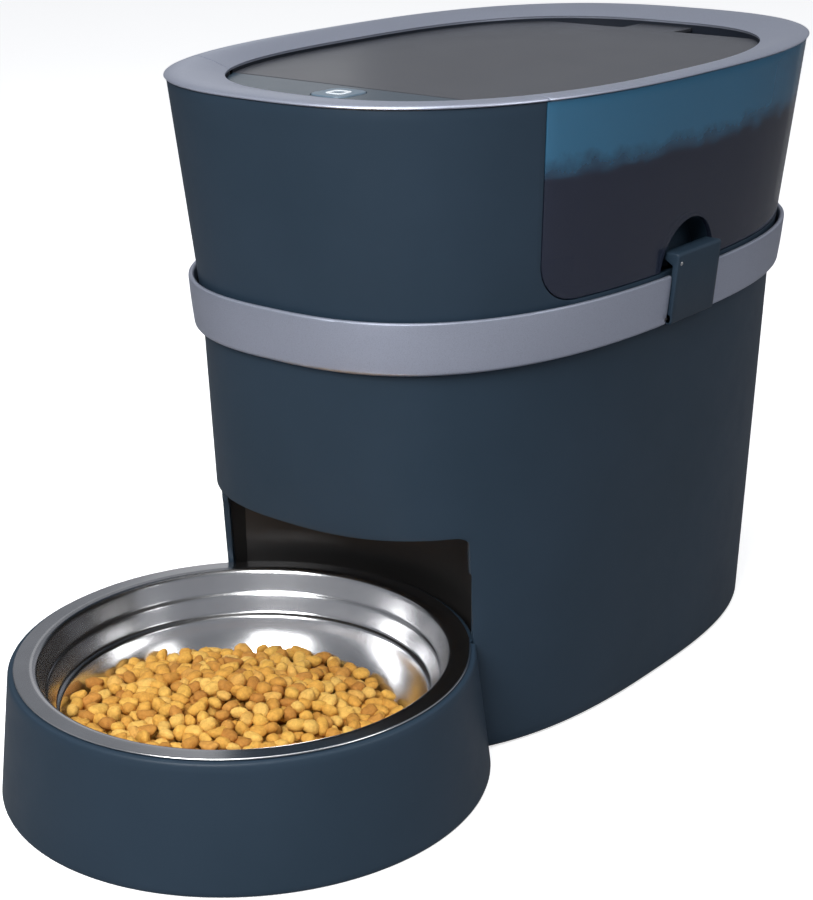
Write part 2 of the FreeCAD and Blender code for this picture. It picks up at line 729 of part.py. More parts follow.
def rollers():
    """Centre lines of the two conveyor rollers."""
    return ((size.drive_y, "drive"), (size.idler_y, "idler"))


def conveyor_housing():
    """Open-topped trough under the tank: two side plates with bearing holes, a bottom and end walls."""
    half, wall = size.trough_half_width, size.trough_wall
    low, top = size.trough_bottom, size.seam_bottom + size.gap
    trough = box(-half, half, TROUGH_FRONT, TROUGH_REAR, low, top)
    inside = box(-half + wall, half - wall, TROUGH_FRONT + 2.0, TROUGH_REAR - 2.0, low + wall, top + 1)
    mouth = size.chute_half_width - 2
    outlet = box(-mouth, mouth, TROUGH_FRONT + 2.0, -14.0, low - 1, low + 5)
    trough = cut(trough, inside, outlet)
    for y, _ in rollers():
        trough = cut(trough, rod("x", size.shaft_radius + size.running_fit, FAR, -FAR / 2, y, size.roller_z))
    keep(trough, "conveyor_housing")


def belt_form(radius, half_length):
    """Long round-ended block round both rollers."""
    start = -half_length
    y0, y1, z = size.drive_y, size.idler_y, size.roller_z
    middle = box(start, half_length, y0, y1, z - radius, z + radius)
    ends = [rod("x", radius, half_length * 2, start, y, z) for y in (y0, y1)]
    return fuse(middle, *ends)


def conveyor_belt():
    inner = size.roller_radius + size.belt_gap
    half = size.roller_half_length + 1.0
    belt = cut(belt_form(inner + size.belt_thick, half), belt_form(inner, half + 1))
    surface = size.roller_z + inner + size.belt_thick
    for step in range(BELT_RIBS):
        y = float(size.drive_y) + 8 + step * 12
        belt = fuse(belt, box(-half, half, y, y + 1.6, surface - 0.3, surface + 1.6))
    keep(belt, "conveyor_belt")


GEAR_DOWN = -math.pi / 2


def drive_and_idler():
    """Rollers on their shafts; the drive roller's shaft carries the gear outside the trough."""
    half = size.roller_half_length
    for y, name in rollers():
        roller = rod("x", size.roller_radius, half * 2, -half, y, size.roller_z)
        left = -size.trough_half_width - 3
        right = size.gear_x + size.gear_width + 1 if name == "drive" else size.trough_half_width + 3
        shaft = rod("x", size.shaft_radius, Size(float(right) - float(left), f"{right.text} - {left.text}"),
                    left, y, size.roller_z)
        keep(fuse(roller, shaft), f"{name}_roller")
    y, z = size.drive_y, size.roller_z
    teeth = gear_solid(size.gear_teeth.number, GEAR_DOWN, size.gear_x, size.gear_width, y, z)
    bore = cylinder("x", size.shaft_radius, 40, 30, y, z)
    hub = cylinder("x", 5.5, 3.0, float(size.gear_x) - 3.0, y, z)
    keep(shape_feature(teeth.fuse(hub).cut(bore)), "drive_gear")


# ---------------------------------------------------------------- drive in the base

def gear_distance():
    return size.gear_module * (size.gear_teeth + size.pinion_teeth) / 2 + size.gear_backlash


def motor_pinion():
    teeth_count = float(size.pinion_teeth)
    z = size.roller_z - gear_distance()
    phase = math.pi / 2 + math.pi / teeth_count
    pinion = gear_solid(teeth_count, phase, size.gear_x, size.gear_width, size.drive_y, z)
    shaft = cylinder("x", 2.0, 22.0, float(size.gear_x) + float(size.gear_width) - 22.0, size.drive_y, z)
    keep(shape_feature(pinion.fuse(shaft)), "motor_pinion")


GEARBOX_X = (26.0, 37.0)
GEARBOX_Y = (-7.0, 17.0)
GEARBOX_LOW = 140.0
MOTOR_RADIUS = 12.0
MOTOR_LENGTH = 30.0
MOTOR_Y, MOTOR_Z = 5.0, 153.0
BRACKET_THICK = 3.0
CONTACT_GAP = 0.3                 # between fixed parts that sit face to face


def gearbox_and_motor():
    x0, x1 = GEARBOX_X
    y0, y1 = GEARBOX_Y
    deck = size.deck_bottom
    case = box(x0, x1, y0, y1, GEARBOX_LOW, deck - CONTACT_GAP)
    bore = rod("x", size.shaft_radius - 0.5 + size.running_fit, 14, x0 - 1, size.drive_y,
               size.roller_z - gear_distance())
    keep(cut(case, bore), "gearbox_case")
    motor_end = x0 - CONTACT_GAP - MOTOR_LENGTH
    can = rod("x", MOTOR_RADIUS, MOTOR_LENGTH, motor_end, MOTOR_Y, MOTOR_Z)
    boss = rod("x", MOTOR_RADIUS / 3, 3.0, motor_end - 3.0, MOTOR_Y, MOTOR_Z)
    keep(fuse(can, boss), "motor")
    back = y1 + 0.2
    plate = box(x0, x1, back, back + BRACKET_THICK, 150.0, deck)
    flange = box(x0 - 8, x1 + 8, back, back + 15, deck - BRACKET_THICK, deck)
    keep(fuse(plate, flange), "motor_bracket")


BOARD_X = 70.0
BOARD_CHIPS = (
    (3.0, 70.0, 96.0, 16.0, 16.0),
    (12.0, 44.0, 120.0, 8.0, 16.0),
    (6.0, 100.0, 76.0, 16.0, 10.0),
)
CAPACITOR_PLACES = (50.0, 61.0, 72.0)


def main_board():
    """Upright circuit board beside the motor; chips are given as depth, y, z, width and height."""
    keep(box(BOARD_X, BOARD_X + 1.6, 40, 120, 70, 140), "main_board")
    parts = []
    for depth, y, z, width, height in BOARD_CHIPS:
        parts.append(box(BOARD_X - depth, BOARD_X, y, y + width, z, z + height))
    for y in CAPACITOR_PLACES:
        parts.append(rod("x", 4.0, 12.0, BOARD_X - 12, y, 84))
    keep(doc_compound(parts), "board_components")


def doc_compound(parts):
    thing = doc.addObject("Part::Compound", "Group")
    thing.Links = parts
    return thing


# ---------------------------------------------------------------- power

CELL_GAP = 1.5


def power_inlet():
    """Socket body behind the rear wall, with a round opening and a centre contact."""
    y = inlet_y() - float(size.wall) - 1.0
    half_width, half_height = RECEPTACLE_HALF
    z = size.inlet_z
    block_body = box(-half_width, half_width, y - 13.0, y, z - half_height, z + half_height)
    collar = rod("y", size.inlet_radius - 0.3, 4.0, 0, y - 0.5, z)
    opening = rod("y", 2.9, 12.5, 0, y - 8.5, z)
    contact = rod("y", 1.0, 9.0, 0, y - 9.0, z)
    keep(fuse(cut(fuse(block_body, collar), opening), contact), "power_inlet")


def battery_box():
    half_width, half_length, y = BATTERY_DOOR_HALF_WIDTH + 2, BATTERY_DOOR_HALF_LENGTH + 6, size.cell_y
    outer = box(-half_width - 2, half_width + 2, y - half_length, y + half_length, 5.2,
                size.cell_z + size.cell_radius + 4.0)
    inner = box(-half_width, half_width, y - half_length + 2, y + half_length - 2, 4,
                size.cell_z + size.cell_radius + 2.0)
    keep(cut(outer, inner), "battery_box")
    half_door, reach = BATTERY_DOOR_HALF_WIDTH - 0.5, BATTERY_DOOR_HALF_LENGTH - 0.5
    door = box(-half_door, half_door, y - reach, y + reach, 2.4, 5.0)
    for side in (-1, 1):
        x = side * (BATTERY_DOOR_HALF_WIDTH - 6.5)
        shank = rod("z", size.screw_radius / 2 + 0.1, 6.0, x, y, 1.0)
        head = rod("z", size.screw_radius + 0.2, 3.0, x, y, 1.1)
        door = cut(door, shank, head)
    keep(door, "battery_door")


def battery_cells():
    """Four D cells in two rows, with a raised contact on one end of each."""
    length, radius = size.cell_length, size.cell_radius
    number = 0
    for row in (-1, 1):
        for column in (-1, 1):
            number += 1
            outline = [(0, 0), (radius, 0), (radius, length - 3), (radius - 6, length - 3),
                       (5.0, length - 1.8), (5.0, length), (0, length)]
            body = turned_body(f"cell_{number}", outline)
            x = -float(length) - CELL_GAP / 2 if column < 0 else CELL_GAP / 2
            body.Placement = FreeCAD.Placement(V(), AXIS_TURN["x"])
            place(body, x, size.cell_y + size.cell_row_pitch / 2 * row, size.cell_z)
            keep(body, f"cell_{number}")


def battery_contacts():
    """Sheet contacts at both ends of the cell rows."""
    parts = []
    for side in (-1, 1):
        for row in (-1, 1):
            y = size.cell_y + size.cell_row_pitch / 2 * row
            edge = float(size.cell_length) + CELL_GAP / 2 + 0.4
            x0, x1 = sorted((side * edge, side * (edge + 0.5)))
            parts.append(box(x0, x1, y - 9, y + 9, size.cell_z - 10, size.cell_z + 10))
    keep(doc_compound(parts), "battery_contacts")


# ---------------------------------------------------------------- fixings

def screw(name, x, y, head_z, length):
    """Countersunk screw with its head down."""
    radius = size.screw_radius
    body = turned_body(name, [(0, 0), (radius, 0), (radius / 2, 1.6), (radius / 2, length), (0, length)])
    place(body, x, y, head_z)
    keep(body, name)


def feet():
    """Rubber feet stuck under the bottom plate."""
    for number, (x, y) in enumerate(FOOT_PLACES, start=1):
        r, h = size.foot_radius, size.foot_height
        body = turned_body(f"foot_{number}", [(0, 0), (r - 1, 0), (r, 0.8), (r, h), (0, h)])
        place(body, x, y, 0.0)
        keep(body, f"foot_{number}")


def case_screws():
    for number, (x, y) in enumerate(CASE_SCREW_PLACES, start=1):
        screw(f"case_screw_{number}", x, y, 2.3, 12.0)
    for number, side in enumerate((-1, 1), start=1):
        screw(f"door_screw_{number}", side * (BATTERY_DOOR_HALF_WIDTH - 6.5), size.cell_y, 2.3, 9.0)


# ---------------------------------------------------------------- latches

def latch():
    """Right latch: a leaning plate with a knuckle at its foot and a nose at its head."""
    low, z_low = size.latch_low_x, size.band_bottom + 0.6
    high, top, thick = size.latch_high_x, size.latch_top, size.latch_thick
    inner = high - thick
    foot = [(low - thick, z_low + 0.6), (low - 0.6, z_low), (low, z_low + 1)]
    head = [(high, top - 1.2), (high - 1.2, top)]
    nose = [(inner - 6.0, top), (inner - 7.0, top - 2), (inner - 4, top - 4), (inner - 0.6, top - 6)]
    body = padded_body("LatchPlate", "XZ_Plane", foot + head + nose, size.latch_width, True)
    place(body, 0, size.latch_y, 0)
    return body


def latch_knuckle():
    y = size.latch_y - size.latch_width / 2
    return rod("y", size.knuckle_radius, size.latch_width, size.latch_pivot_x, y, size.latch_pivot_z)


def latch_bore():
    return rod("y", size.pin_radius + size.running_fit, size.latch_width + 4, size.latch_pivot_x,
               size.latch_y - size.latch_width / 2 - 2, size.latch_pivot_z)


def latches():
    right = cut(fuse(latch(), latch_knuckle()), latch_bore())
    keep(right, "latch_right")
    length = size.latch_width + 5
    pin = rod("y", size.pin_radius, length, size.latch_pivot_x, size.latch_y - length / 2, size.latch_pivot_z)
    keep(pin, "latch_pin_right")
    for source, name in ((right, "latch_left"), (pin, "latch_pin_left")):
        mirror = doc.addObject("Part::Mirroring", "Mirror")
        mirror.Source = source
        mirror.Normal = X_AXIS
        keep(mirror, name)


# ---------------------------------------------------------------- bowl and its holder

HOUSING_CLEARANCE = 1.0


def bowl_holder():
    """Round holder with a flat top ring, turned, then trimmed where it stands inside the housing."""
    foot, top, height = size.holder_foot_radius, size.holder_top_radius, size.holder_height
    wall, seat = size.holder_wall, size.holder_seat_radius
    floor_low, floor_high = 3.0, 6.0
    outline = [
        (foot - 1.2, 0.3), (foot, 1.5), (top + 0.1, height - 1.2), (top - 0.3, height - 0.3),
        (top - 1.2, height), (seat, height), (seat, height - wall), (top - wall, height - wall),
        (foot - wall - 0.3, floor_high), (0, floor_high), (0, floor_low), (foot - wall, floor_low),
        (foot - wall, 0.3),
    ]
    body = turned_body("HolderTurned", outline)
    place(body, 0, size.bowl_y, 0)
    doc.recompute()
    housing = lower_form(-1.0, 80.0, -HOUSING_CLEARANCE)
    side = float(size.alcove_half_width) - 1.2
    outside_alcove = housing.cut(block(-side, side, -FAR, FAR, -5, 100))
    keep(cut(body, shape_feature(outside_alcove, "HousingClearance")), "bowl_holder")


def bowl_step(radius, z, width, drop):
    """Rounded step in the bowl's wall, from its upper edge down."""
    shape = ((0.0, 0.0), (0.25, 0.4), (0.65, 0.65), (1.0, 1.0))
    return [(radius - width * across, z - drop * down) for across, down in shape]


def bowl_curve():
    """Curve from the foot of the bowl's wall into its floor."""
    points = []
    for degrees in range(75, -1, -15):
        turn = math.radians(degrees)
        points.append((size.bowl_floor_radius + size.bowl_curve_width * math.sin(turn),
                       size.bowl_floor_z + size.bowl_curve_height * (1 - math.cos(turn))))
    return points


def other_face(profile, thick):
    """The far face of a sheet whose near face is a line of (radius, z) points running inwards."""
    flat = [(float(radius), float(z)) for radius, z in profile]
    normals = []
    for (r0, z0), (r1, z1) in zip(flat, flat[1:]):
        length = math.hypot(r1 - r0, z1 - z0)
        normals.append(((z0 - z1) / length, (r1 - r0) / length))
    normals = [normals[0]] + normals + [normals[-1]]
    face = []
    for (radius, z), before, after in zip(profile, normals, normals[1:]):
        share = float(thick) / (1 + before[0] * after[0] + before[1] * after[1])
        face.append((radius + share * (before[0] + after[0]), z + share * (before[1] + after[1])))
    return face


def steel_bowl():
    """Pressed sheet bowl: flat flange, round shoulder, wall with two steps, curved floor."""
    radius, top, mouth = size.bowl_radius, size.bowl_top, size.bowl_mouth_radius
    profile = [(radius - 0.25, top - 0.25), (radius - 0.9, top), (mouth, top), (mouth - 1.4, top - 0.4),
               (mouth - 2.4, top - 1.2), (mouth - 3.0, top - 2.3), (mouth - 3.5, top - 3.8)]
    profile += bowl_step(size.bowl_step_1_radius, size.bowl_step_1_z, 1.7, 2.8)
    profile += bowl_step(size.bowl_step_2_radius, size.bowl_step_2_z, 3.0, 4.0)[:-1]
    profile += bowl_curve() + [(0, size.bowl_floor_z)]
    under = other_face(profile, size.bowl_sheet)
    under[0] = (radius, top - size.bowl_sheet)
    under[-1] = (0, size.bowl_floor_z - size.bowl_sheet)
    body = turned_body("steel_bowl", profile + under[::-1])
    place(body, 0, size.bowl_y, 0)
    keep(body, "steel_bowl")


# ---------------------------------------------------------------- build, check and write

def build():
    base_shell()
    base_plate()
    hopper_deck()
    alcove_liner()
    food_chute()
    trim_bands()
    front_shell()
    front_bulkhead()
    rims()
    control_panel()
    feed_button()
    control_board()
    lid()
    finger_well()
    hopper_tank()
    funnel()
    conveyor_housing()
    conveyor_belt()
    drive_and_idler()
    motor_pinion()
    gearbox_and_motor()
    main_board()
    power_inlet()
    battery_box()
    battery_cells()
    battery_contacts()
    feet()
    case_screws()
    latches()
    bowl_holder()
    steel_bowl()


def check_and_write():
    doc.recompute()
    for thing in doc.Objects:
        if "Invalid" in thing.State or "Error" in thing.State:
            raise RuntimeError(f"{thing.Label} did not compute: {thing.State}")
    os.makedirs("parts", exist_ok=True)
    for thing in subparts:
        if thing.Shape.isNull() or not thing.Shape.isValid():
            raise RuntimeError(f"{thing.Label} has no valid shape")
        box_of = thing.Shape.BoundBox
        print(f"{thing.Label}: {thing.Shape.Volume / 1000:.2f} cm3, {len(thing.Shape.Solids)} solid(s), "
              f"z {box_of.ZMin:.1f} to {box_of.ZMax:.1f}")
        thing.Shape.exportStep(f"parts/{thing.Label}.step")
    print(len(subparts), "sub-parts")


build()
check_and_write()
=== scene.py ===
import itertools
import json
import math
import random

import bmesh
import bpy
import numpy
from mathutils import Matrix, Quaternion, Vector


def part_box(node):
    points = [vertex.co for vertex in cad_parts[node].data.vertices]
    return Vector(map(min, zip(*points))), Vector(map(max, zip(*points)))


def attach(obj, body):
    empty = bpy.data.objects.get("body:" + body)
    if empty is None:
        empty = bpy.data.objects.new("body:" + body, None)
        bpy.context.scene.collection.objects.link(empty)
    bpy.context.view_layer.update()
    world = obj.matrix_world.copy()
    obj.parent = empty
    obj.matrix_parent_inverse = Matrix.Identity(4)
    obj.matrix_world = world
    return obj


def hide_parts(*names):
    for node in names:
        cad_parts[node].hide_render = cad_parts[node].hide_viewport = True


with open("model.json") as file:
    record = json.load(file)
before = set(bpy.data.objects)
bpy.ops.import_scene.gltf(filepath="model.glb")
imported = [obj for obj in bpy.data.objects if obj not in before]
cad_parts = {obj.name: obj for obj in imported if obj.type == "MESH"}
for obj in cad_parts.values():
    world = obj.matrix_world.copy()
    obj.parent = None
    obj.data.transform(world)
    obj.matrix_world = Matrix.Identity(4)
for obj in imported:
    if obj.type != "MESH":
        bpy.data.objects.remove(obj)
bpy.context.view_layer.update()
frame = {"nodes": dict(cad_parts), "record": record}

# Lengths in this file are in millimetres, and every mesh is scaled to metres when it is made.
MM = 0.001


def span(node):
    """Lowest and highest corner of a CAD node, in millimetres."""
    low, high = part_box(node)
    return low / MM, high / MM


# ---- sizes, from the frame

HEIGHT = span("rear_rim")[1].z
RIM_HALF_WIDTH = span("rear_rim")[1].x
HOUSING_Y = (span("front_rim")[0].y + span("rear_rim")[1].y) / 2
RIM_HALF_LENGTH = (span("rear_rim")[1].y - span("front_rim")[0].y) / 2
FOOT_LEAN = 6.0
PLAN_POWER, MOUTH_POWER = 2.63, 2.75
WAIST_Z = span("base_shell")[1].z
FOOT_GAP = span("base_shell")[0].z
NECK_Z = span("front_shell")[0].z
FOOT = (100.5, 161.0, 0.0)
WAIST = (106.5, 171.5, 191.0)
NECK = (107.65, 169.15, 191.5)
CROWN = (118.96, 184.41, 309.5)
CROWN_Z = CROWN[2]
BAND_LOW_Z, BAND_HIGH_Z = 191.6, 216.5
BAND_LOW = (111.2, 174.8)
BAND_HIGH = (114.0, 176.8)
MOUTH = (98.9, 153.2)
RIM_LOW_Z, RIM_INNER_Z, SKIRT_LOW_Z = 309.8, 307.7, 305.6
RIM_SPLIT_Y, GAP = -49.0, 0.35
LEDGE_Z = 302.3
PLATE_TOP = span("lid_panel")[1].z
PLATE_LOW = span("lid_panel")[0].z
LID_FRONT_Y = span("lid_panel")[0].y
LID_REAR_Y = 198.0
PANEL_REAR_Y = span("control_panel")[1].y
SEAM_TOP_Y, SEAM_SLOPE, SEAM_CORNER, SEAM_BOTTOM = -49.3, 0.0704, 20.0, 217.5
ALCOVE_HALF, ALCOVE_TOP, ALCOVE_RADIUS = 78.0, 112.0, 116.0
WALL, TANK_SHEET = 3.0, 2.4
TANK_INSIDE = WALL + 0.3
TANK_FRONT_Y = span("hopper_funnel")[0].y - 2.7
CHUTE_MOUTH = ((30.0, -64.0), (30.0, -34.0), (-30.0, -34.0), (-30.0, -64.0))
BOWL_Y = (span("steel_bowl")[0].y + span("steel_bowl")[1].y) / 2
HOLDER_FOOT, HOLDER_TOP, HOLDER_HEIGHT = 113.5, 106.7, 59.0
HOLDER_WALL, HOLDER_SEAT = 2.6, 99.5
BOWL_TOP = span("steel_bowl")[1].z
BOWL_RADIUS = (span("steel_bowl")[1].x - span("steel_bowl")[0].x) / 2
LATCH_Y = (span("latch_right")[0].y + span("latch_right")[1].y) / 2
LATCH_WIDTH = span("latch_right")[1].y - span("latch_right")[0].y
LATCH_GAP = 0.8
NOTCH_Y, NOTCH_RADIUS, NOTCH_FLOOR_X = 61.0, 23.5, 98.5
INSIDE_X, BEYOND_X = 90.0, 130.0
BUTTON_Y = (span("feed_button")[0].y + span("feed_button")[1].y) / 2
BUTTON_TOP = span("feed_button")[1].z


# ---- materials

MATERIALS = {}


def new_material(name):
    material = bpy.data.materials.new(name)
    material.use_nodes = True
    MATERIALS[name] = material
    return material.node_tree, material.node_tree.nodes["Principled BSDF"]


def node(tree, kind, inputs=None, **settings):
    made = tree.nodes.new(kind)
    for key, value in settings.items():
        setattr(made, key, value)
    for key, value in (inputs or {}).items():
        made.inputs[key].default_value = value
    return made


def link(tree, source, target):
    tree.links.new(source, target)


def object_place(tree):
    """Object coordinates, which are the row frame for every piece."""
    return node(tree, "ShaderNodeTexCoord").outputs["Object"]


def noise(tree, scale, detail=3.0, roughness=0.5, place=None):
    made = node(tree, "ShaderNodeTexNoise", {"Scale": scale, "Detail": detail, "Roughness": roughness})
    link(tree, place or object_place(tree), made.inputs["Vector"])
    return made.outputs["Fac"]


def ramp(tree, fac, stops):
    """Colour ramp with (position, colour) stops."""
    made = node(tree, "ShaderNodeValToRGB")
    elements = made.color_ramp.elements
    while len(elements) > len(stops):
        elements.remove(elements[-1])
    while len(elements) < len(stops):
        elements.new(1.0)
    for element, (position, colour) in zip(elements, stops):
        element.position = position
        element.color = (*colour, 1.0) if len(colour) == 3 else colour
    link(tree, fac, made.inputs["Fac"])
    return made.outputs["Color"]


def spread(tree, fac, low, high):
    """Map a 0..1 signal to low..high."""
    made = node(tree, "ShaderNodeMapRange", {"To Min": low, "To Max": high})
    link(tree, fac, made.inputs["Value"])
    return made.outputs["Result"]


def add_bump(tree, shader, height, strength, distance):
    made = node(tree, "ShaderNodeBump", {"Strength": strength, "Distance": distance})
    link(tree, height, made.inputs["Height"])
    link(tree, made.outputs["Normal"], shader.inputs["Normal"])


def moulded_plastic(name, colour, shade, rough=(0.36, 0.5), grain=1400.0, bump=0.12, gloss=0.5):
    """Moulded plastic: broad colour drift, patchy roughness and a fine spark-eroded grain."""
    tree, shader = new_material(name)
    place = object_place(tree)
    drift = noise(tree, 9.0, 4.0, 0.6, place)
    link(tree, ramp(tree, drift, [(0.3, shade), (0.7, colour)]), shader.inputs["Base Color"])
    patch = noise(tree, 60.0, 5.0, 0.65, place)
    link(tree, spread(tree, patch, *rough), shader.inputs["Roughness"])
    add_bump(tree, shader, noise(tree, grain, 2.0, 0.5, place), bump, 0.0001)
    shader.inputs["Specular IOR Level"].default_value = gloss


def silver_paint(name, colour, shade):
    """Satin silver paint: fine flake sparkle in its roughness and slight unevenness."""
    tree, shader = new_material(name)
    place = object_place(tree)
    flake = node(tree, "ShaderNodeTexVoronoi", {"Scale": 2600.0})
    link(tree, place, flake.inputs["Vector"])
    sparkle = ramp(tree, flake.outputs["Distance"], [(0.0, colour), (0.9, shade)])
    link(tree, sparkle, shader.inputs["Base Color"])
    link(tree, spread(tree, noise(tree, 45.0, 4.0, 0.6, place), 0.3, 0.42), shader.inputs["Roughness"])
    add_bump(tree, shader, noise(tree, 1800.0, 2.0, 0.5, place), 0.06, 0.0001)
    shader.inputs["Metallic"].default_value = 0.75


def steel(name):
    """Polished pressed steel with faint turning marks round the bowl's axis."""
    tree, shader = new_material(name)
    place = object_place(tree)
    offset = node(tree, "ShaderNodeVectorMath", {1: (0.0, -BOWL_Y * MM, 0.0)}, operation="ADD")
    link(tree, place, offset.inputs[0])
    split = node(tree, "ShaderNodeSeparateXYZ")
    link(tree, offset.outputs["Vector"], split.inputs["Vector"])
    flat = node(tree, "ShaderNodeCombineXYZ")
    link(tree, split.outputs["X"], flat.inputs["X"])
    link(tree, split.outputs["Y"], flat.inputs["Y"])
    radius = node(tree, "ShaderNodeVectorMath", operation="LENGTH")
    link(tree, flat.outputs["Vector"], radius.inputs[0])
    rings = node(tree, "ShaderNodeCombineXYZ")
    link(tree, radius.outputs["Value"], rings.inputs["X"])
    link(tree, split.outputs["Z"], rings.inputs["Y"])
    marks = noise(tree, 900.0, 3.0, 0.7, rings.outputs["Vector"])
    link(tree, spread(tree, marks, 0.16, 0.25), shader.inputs["Roughness"])
    smudge = noise(tree, 28.0, 5.0, 0.6, place)
    link(tree, ramp(tree, smudge, [(0.3, (0.62, 0.62, 0.63)), (0.75, (0.72, 0.72, 0.73))]),
         shader.inputs["Base Color"])
    add_bump(tree, shader, marks, 0.04, 0.00005)
    shader.inputs["Metallic"].default_value = 1.0


def translucent_with_painted_shade(name, colour, painted_food_shade, alpha, rough, low_z, high_z):
    """Dark translucent plastic with flow lines, clear above the food's uneven top and dull below it: the upper
    colour is painted light from the empty tank, the lower one painted shade of the food behind the wall.
    """
    tree, shader = new_material(name)
    place = object_place(tree)
    split = node(tree, "ShaderNodeSeparateXYZ")
    link(tree, place, split.inputs["Vector"])
    ragged = node(tree, "ShaderNodeMath", operation="ADD")
    link(tree, split.outputs["Z"], ragged.inputs[0])
    link(tree, spread(tree, noise(tree, 75.0, 4.0, 0.6, place), -8 * MM, 8 * MM), ragged.inputs[1])
    height = node(tree, "ShaderNodeMapRange", {"From Min": low_z * MM, "From Max": high_z * MM})
    link(tree, ragged.outputs["Value"], height.inputs["Value"])
    colour_and_painted_shade = ramp(tree, height.outputs["Result"], [(0.0, painted_food_shade), (1.0, colour)])
    link(tree, colour_and_painted_shade, shader.inputs["Base Color"])
    link(tree, spread(tree, noise(tree, 30.0, 4.0, 0.6, place), *rough), shader.inputs["Roughness"])
    stretch = node(tree, "ShaderNodeMapping", {"Scale": (60.0, 60.0, 4.0)})
    link(tree, place, stretch.inputs["Vector"])
    add_bump(tree, shader, noise(tree, 1.0, 2.0, 0.5, stretch.outputs["Vector"]), 0.1, 0.0006)
    shader.inputs["Alpha"].default_value = alpha
    shader.inputs["IOR"].default_value = 1.5


def plain_metal(name, colour, rough):
    """Machined or plated metal with a fine brushed grain."""
    tree, shader = new_material(name)
    place = object_place(tree)
    stretch = node(tree, "ShaderNodeMapping", {"Scale": (200.0, 3000.0, 3000.0)})
    link(tree, place, stretch.inputs["Vector"])
    grain = noise(tree, 1.0, 3.0, 0.6, stretch.outputs["Vector"])
    link(tree, spread(tree, grain, *rough), shader.inputs["Roughness"])
    dark = tuple(0.8 * part for part in colour)
    link(tree, ramp(tree, grain, [(0.2, dark), (0.8, colour)]), shader.inputs["Base Color"])
    shader.inputs["Metallic"].default_value = 1.0


def rubber(name, colour):
    moulded_plastic(name, colour, tuple(0.7 * part for part in colour), (0.7, 0.9), 900.0, 0.3, 0.25)


def circuit(name):
    """Green solder mask with a faint grid of tracks."""
    tree, shader = new_material(name)
    place = object_place(tree)
    tracks = node(tree, "ShaderNodeTexBrick", {"Scale": 220.0, "Mortar Size": 0.04,
                                              "Color1": (0.01, 0.13, 0.05, 1), "Color2": (0.012, 0.16, 0.06, 1),
                                              "Mortar": (0.03, 0.3, 0.1, 1)})
    link(tree, place, tracks.inputs["Vector"])
    link(tree, tracks.outputs["Color"], shader.inputs["Base Color"])
    link(tree, spread(tree, noise(tree, 80.0, 3.0, 0.5, place), 0.25, 0.45), shader.inputs["Roughness"])


def cell_jacket(name):
    """Printed sleeve of a cell: a dark band and a copper one, with no lettering."""
    tree, shader = new_material(name)
    place = object_place(tree)
    split = node(tree, "ShaderNodeSeparateXYZ")
    link(tree, place, split.inputs["Vector"])
    along = node(tree, "ShaderNodeMath", {1: 1 / 0.0625}, operation="MULTIPLY")
    link(tree, split.outputs["X"], along.inputs[0])
    share = node(tree, "ShaderNodeMath", operation="FRACT")
    link(tree, along.outputs["Value"], share.inputs[0])
    link(tree, ramp(tree, share.outputs["Value"], [(0.62, (0.02, 0.02, 0.022)), (0.66, (0.45, 0.22, 0.08))]),
         shader.inputs["Base Color"])
    link(tree, spread(tree, noise(tree, 90.0, 3.0, 0.5, place), 0.22, 0.34), shader.inputs["Roughness"])


NAVY, NAVY_SHADE = (0.023, 0.041, 0.064), (0.018, 0.034, 0.053)
SMOKE = (0.045, 0.047, 0.055)
moulded_plastic("housing_plastic", NAVY, NAVY_SHADE, gloss=0.25)
# Darker recess plastic: painted shade in recesses, used on the ledges, the finger well and the funnel.
moulded_plastic("recess_plastic", (0.014, 0.018, 0.027), (0.01, 0.013, 0.02), (0.4, 0.55), gloss=0.2)
moulded_plastic("underside_plastic", (0.03, 0.033, 0.038), (0.022, 0.024, 0.028))
moulded_plastic("alcove_plastic", (0.032, 0.030, 0.029), (0.025, 0.024, 0.024), (0.32, 0.44), gloss=0.3)
silver_paint("silver_trim", (0.52, 0.56, 0.67), (0.42, 0.45, 0.55))
moulded_plastic("panel_gloss", (0.026, 0.05, 0.07), (0.02, 0.04, 0.06), (0.16, 0.24), 700.0, 0.03, 0.35)
moulded_plastic("button_plastic", (0.13, 0.18, 0.23), (0.1, 0.15, 0.2), (0.25, 0.35))
moulded_plastic("light_ring", (0.85, 0.88, 0.9), (0.75, 0.8, 0.84), (0.2, 0.3))
# Tank: the teal is the plastic's colour painted as lit through the empty top, and the dark colour is painted shade
# of the food behind the wall.
translucent_with_painted_shade("tank_plastic", (0.042, 0.15, 0.26), (0.020, 0.025, 0.045), 0.84, (0.07, 0.13), 275, 285)
translucent_with_painted_shade("lid_plastic", SMOKE, SMOKE, 0.92, (0.2, 0.28), 277, 283)
moulded_plastic("lid_catch_plastic", (0.03, 0.035, 0.04), (0.02, 0.025, 0.03))
rubber("seal_rubber", (0.02, 0.02, 0.022))
moulded_plastic("conveyor_plastic", (0.03, 0.034, 0.04), (0.02, 0.024, 0.03))
rubber("belt_rubber", (0.04, 0.04, 0.042))
moulded_plastic("roller_plastic", (0.7, 0.7, 0.67), (0.6, 0.6, 0.57))
plain_metal("pinion_brass", (0.72, 0.52, 0.22), (0.22, 0.34))
circuit("circuit_board")
moulded_plastic("component_plastic", (0.02, 0.02, 0.022), (0.015, 0.015, 0.016))
plain_metal("motor_steel", (0.55, 0.55, 0.56), (0.28, 0.4))
cell_jacket("cell_jacket")
plain_metal("contact_metal", (0.7, 0.7, 0.7), (0.2, 0.3))
plain_metal("screw_steel", (0.5, 0.5, 0.51), (0.25, 0.38))
rubber("foot_rubber", (0.025, 0.025, 0.025))
steel("bowl_steel")
SLOT_OF = {entry["node"]: entry["material_slot"] for entry in frame["record"]["subparts"]}
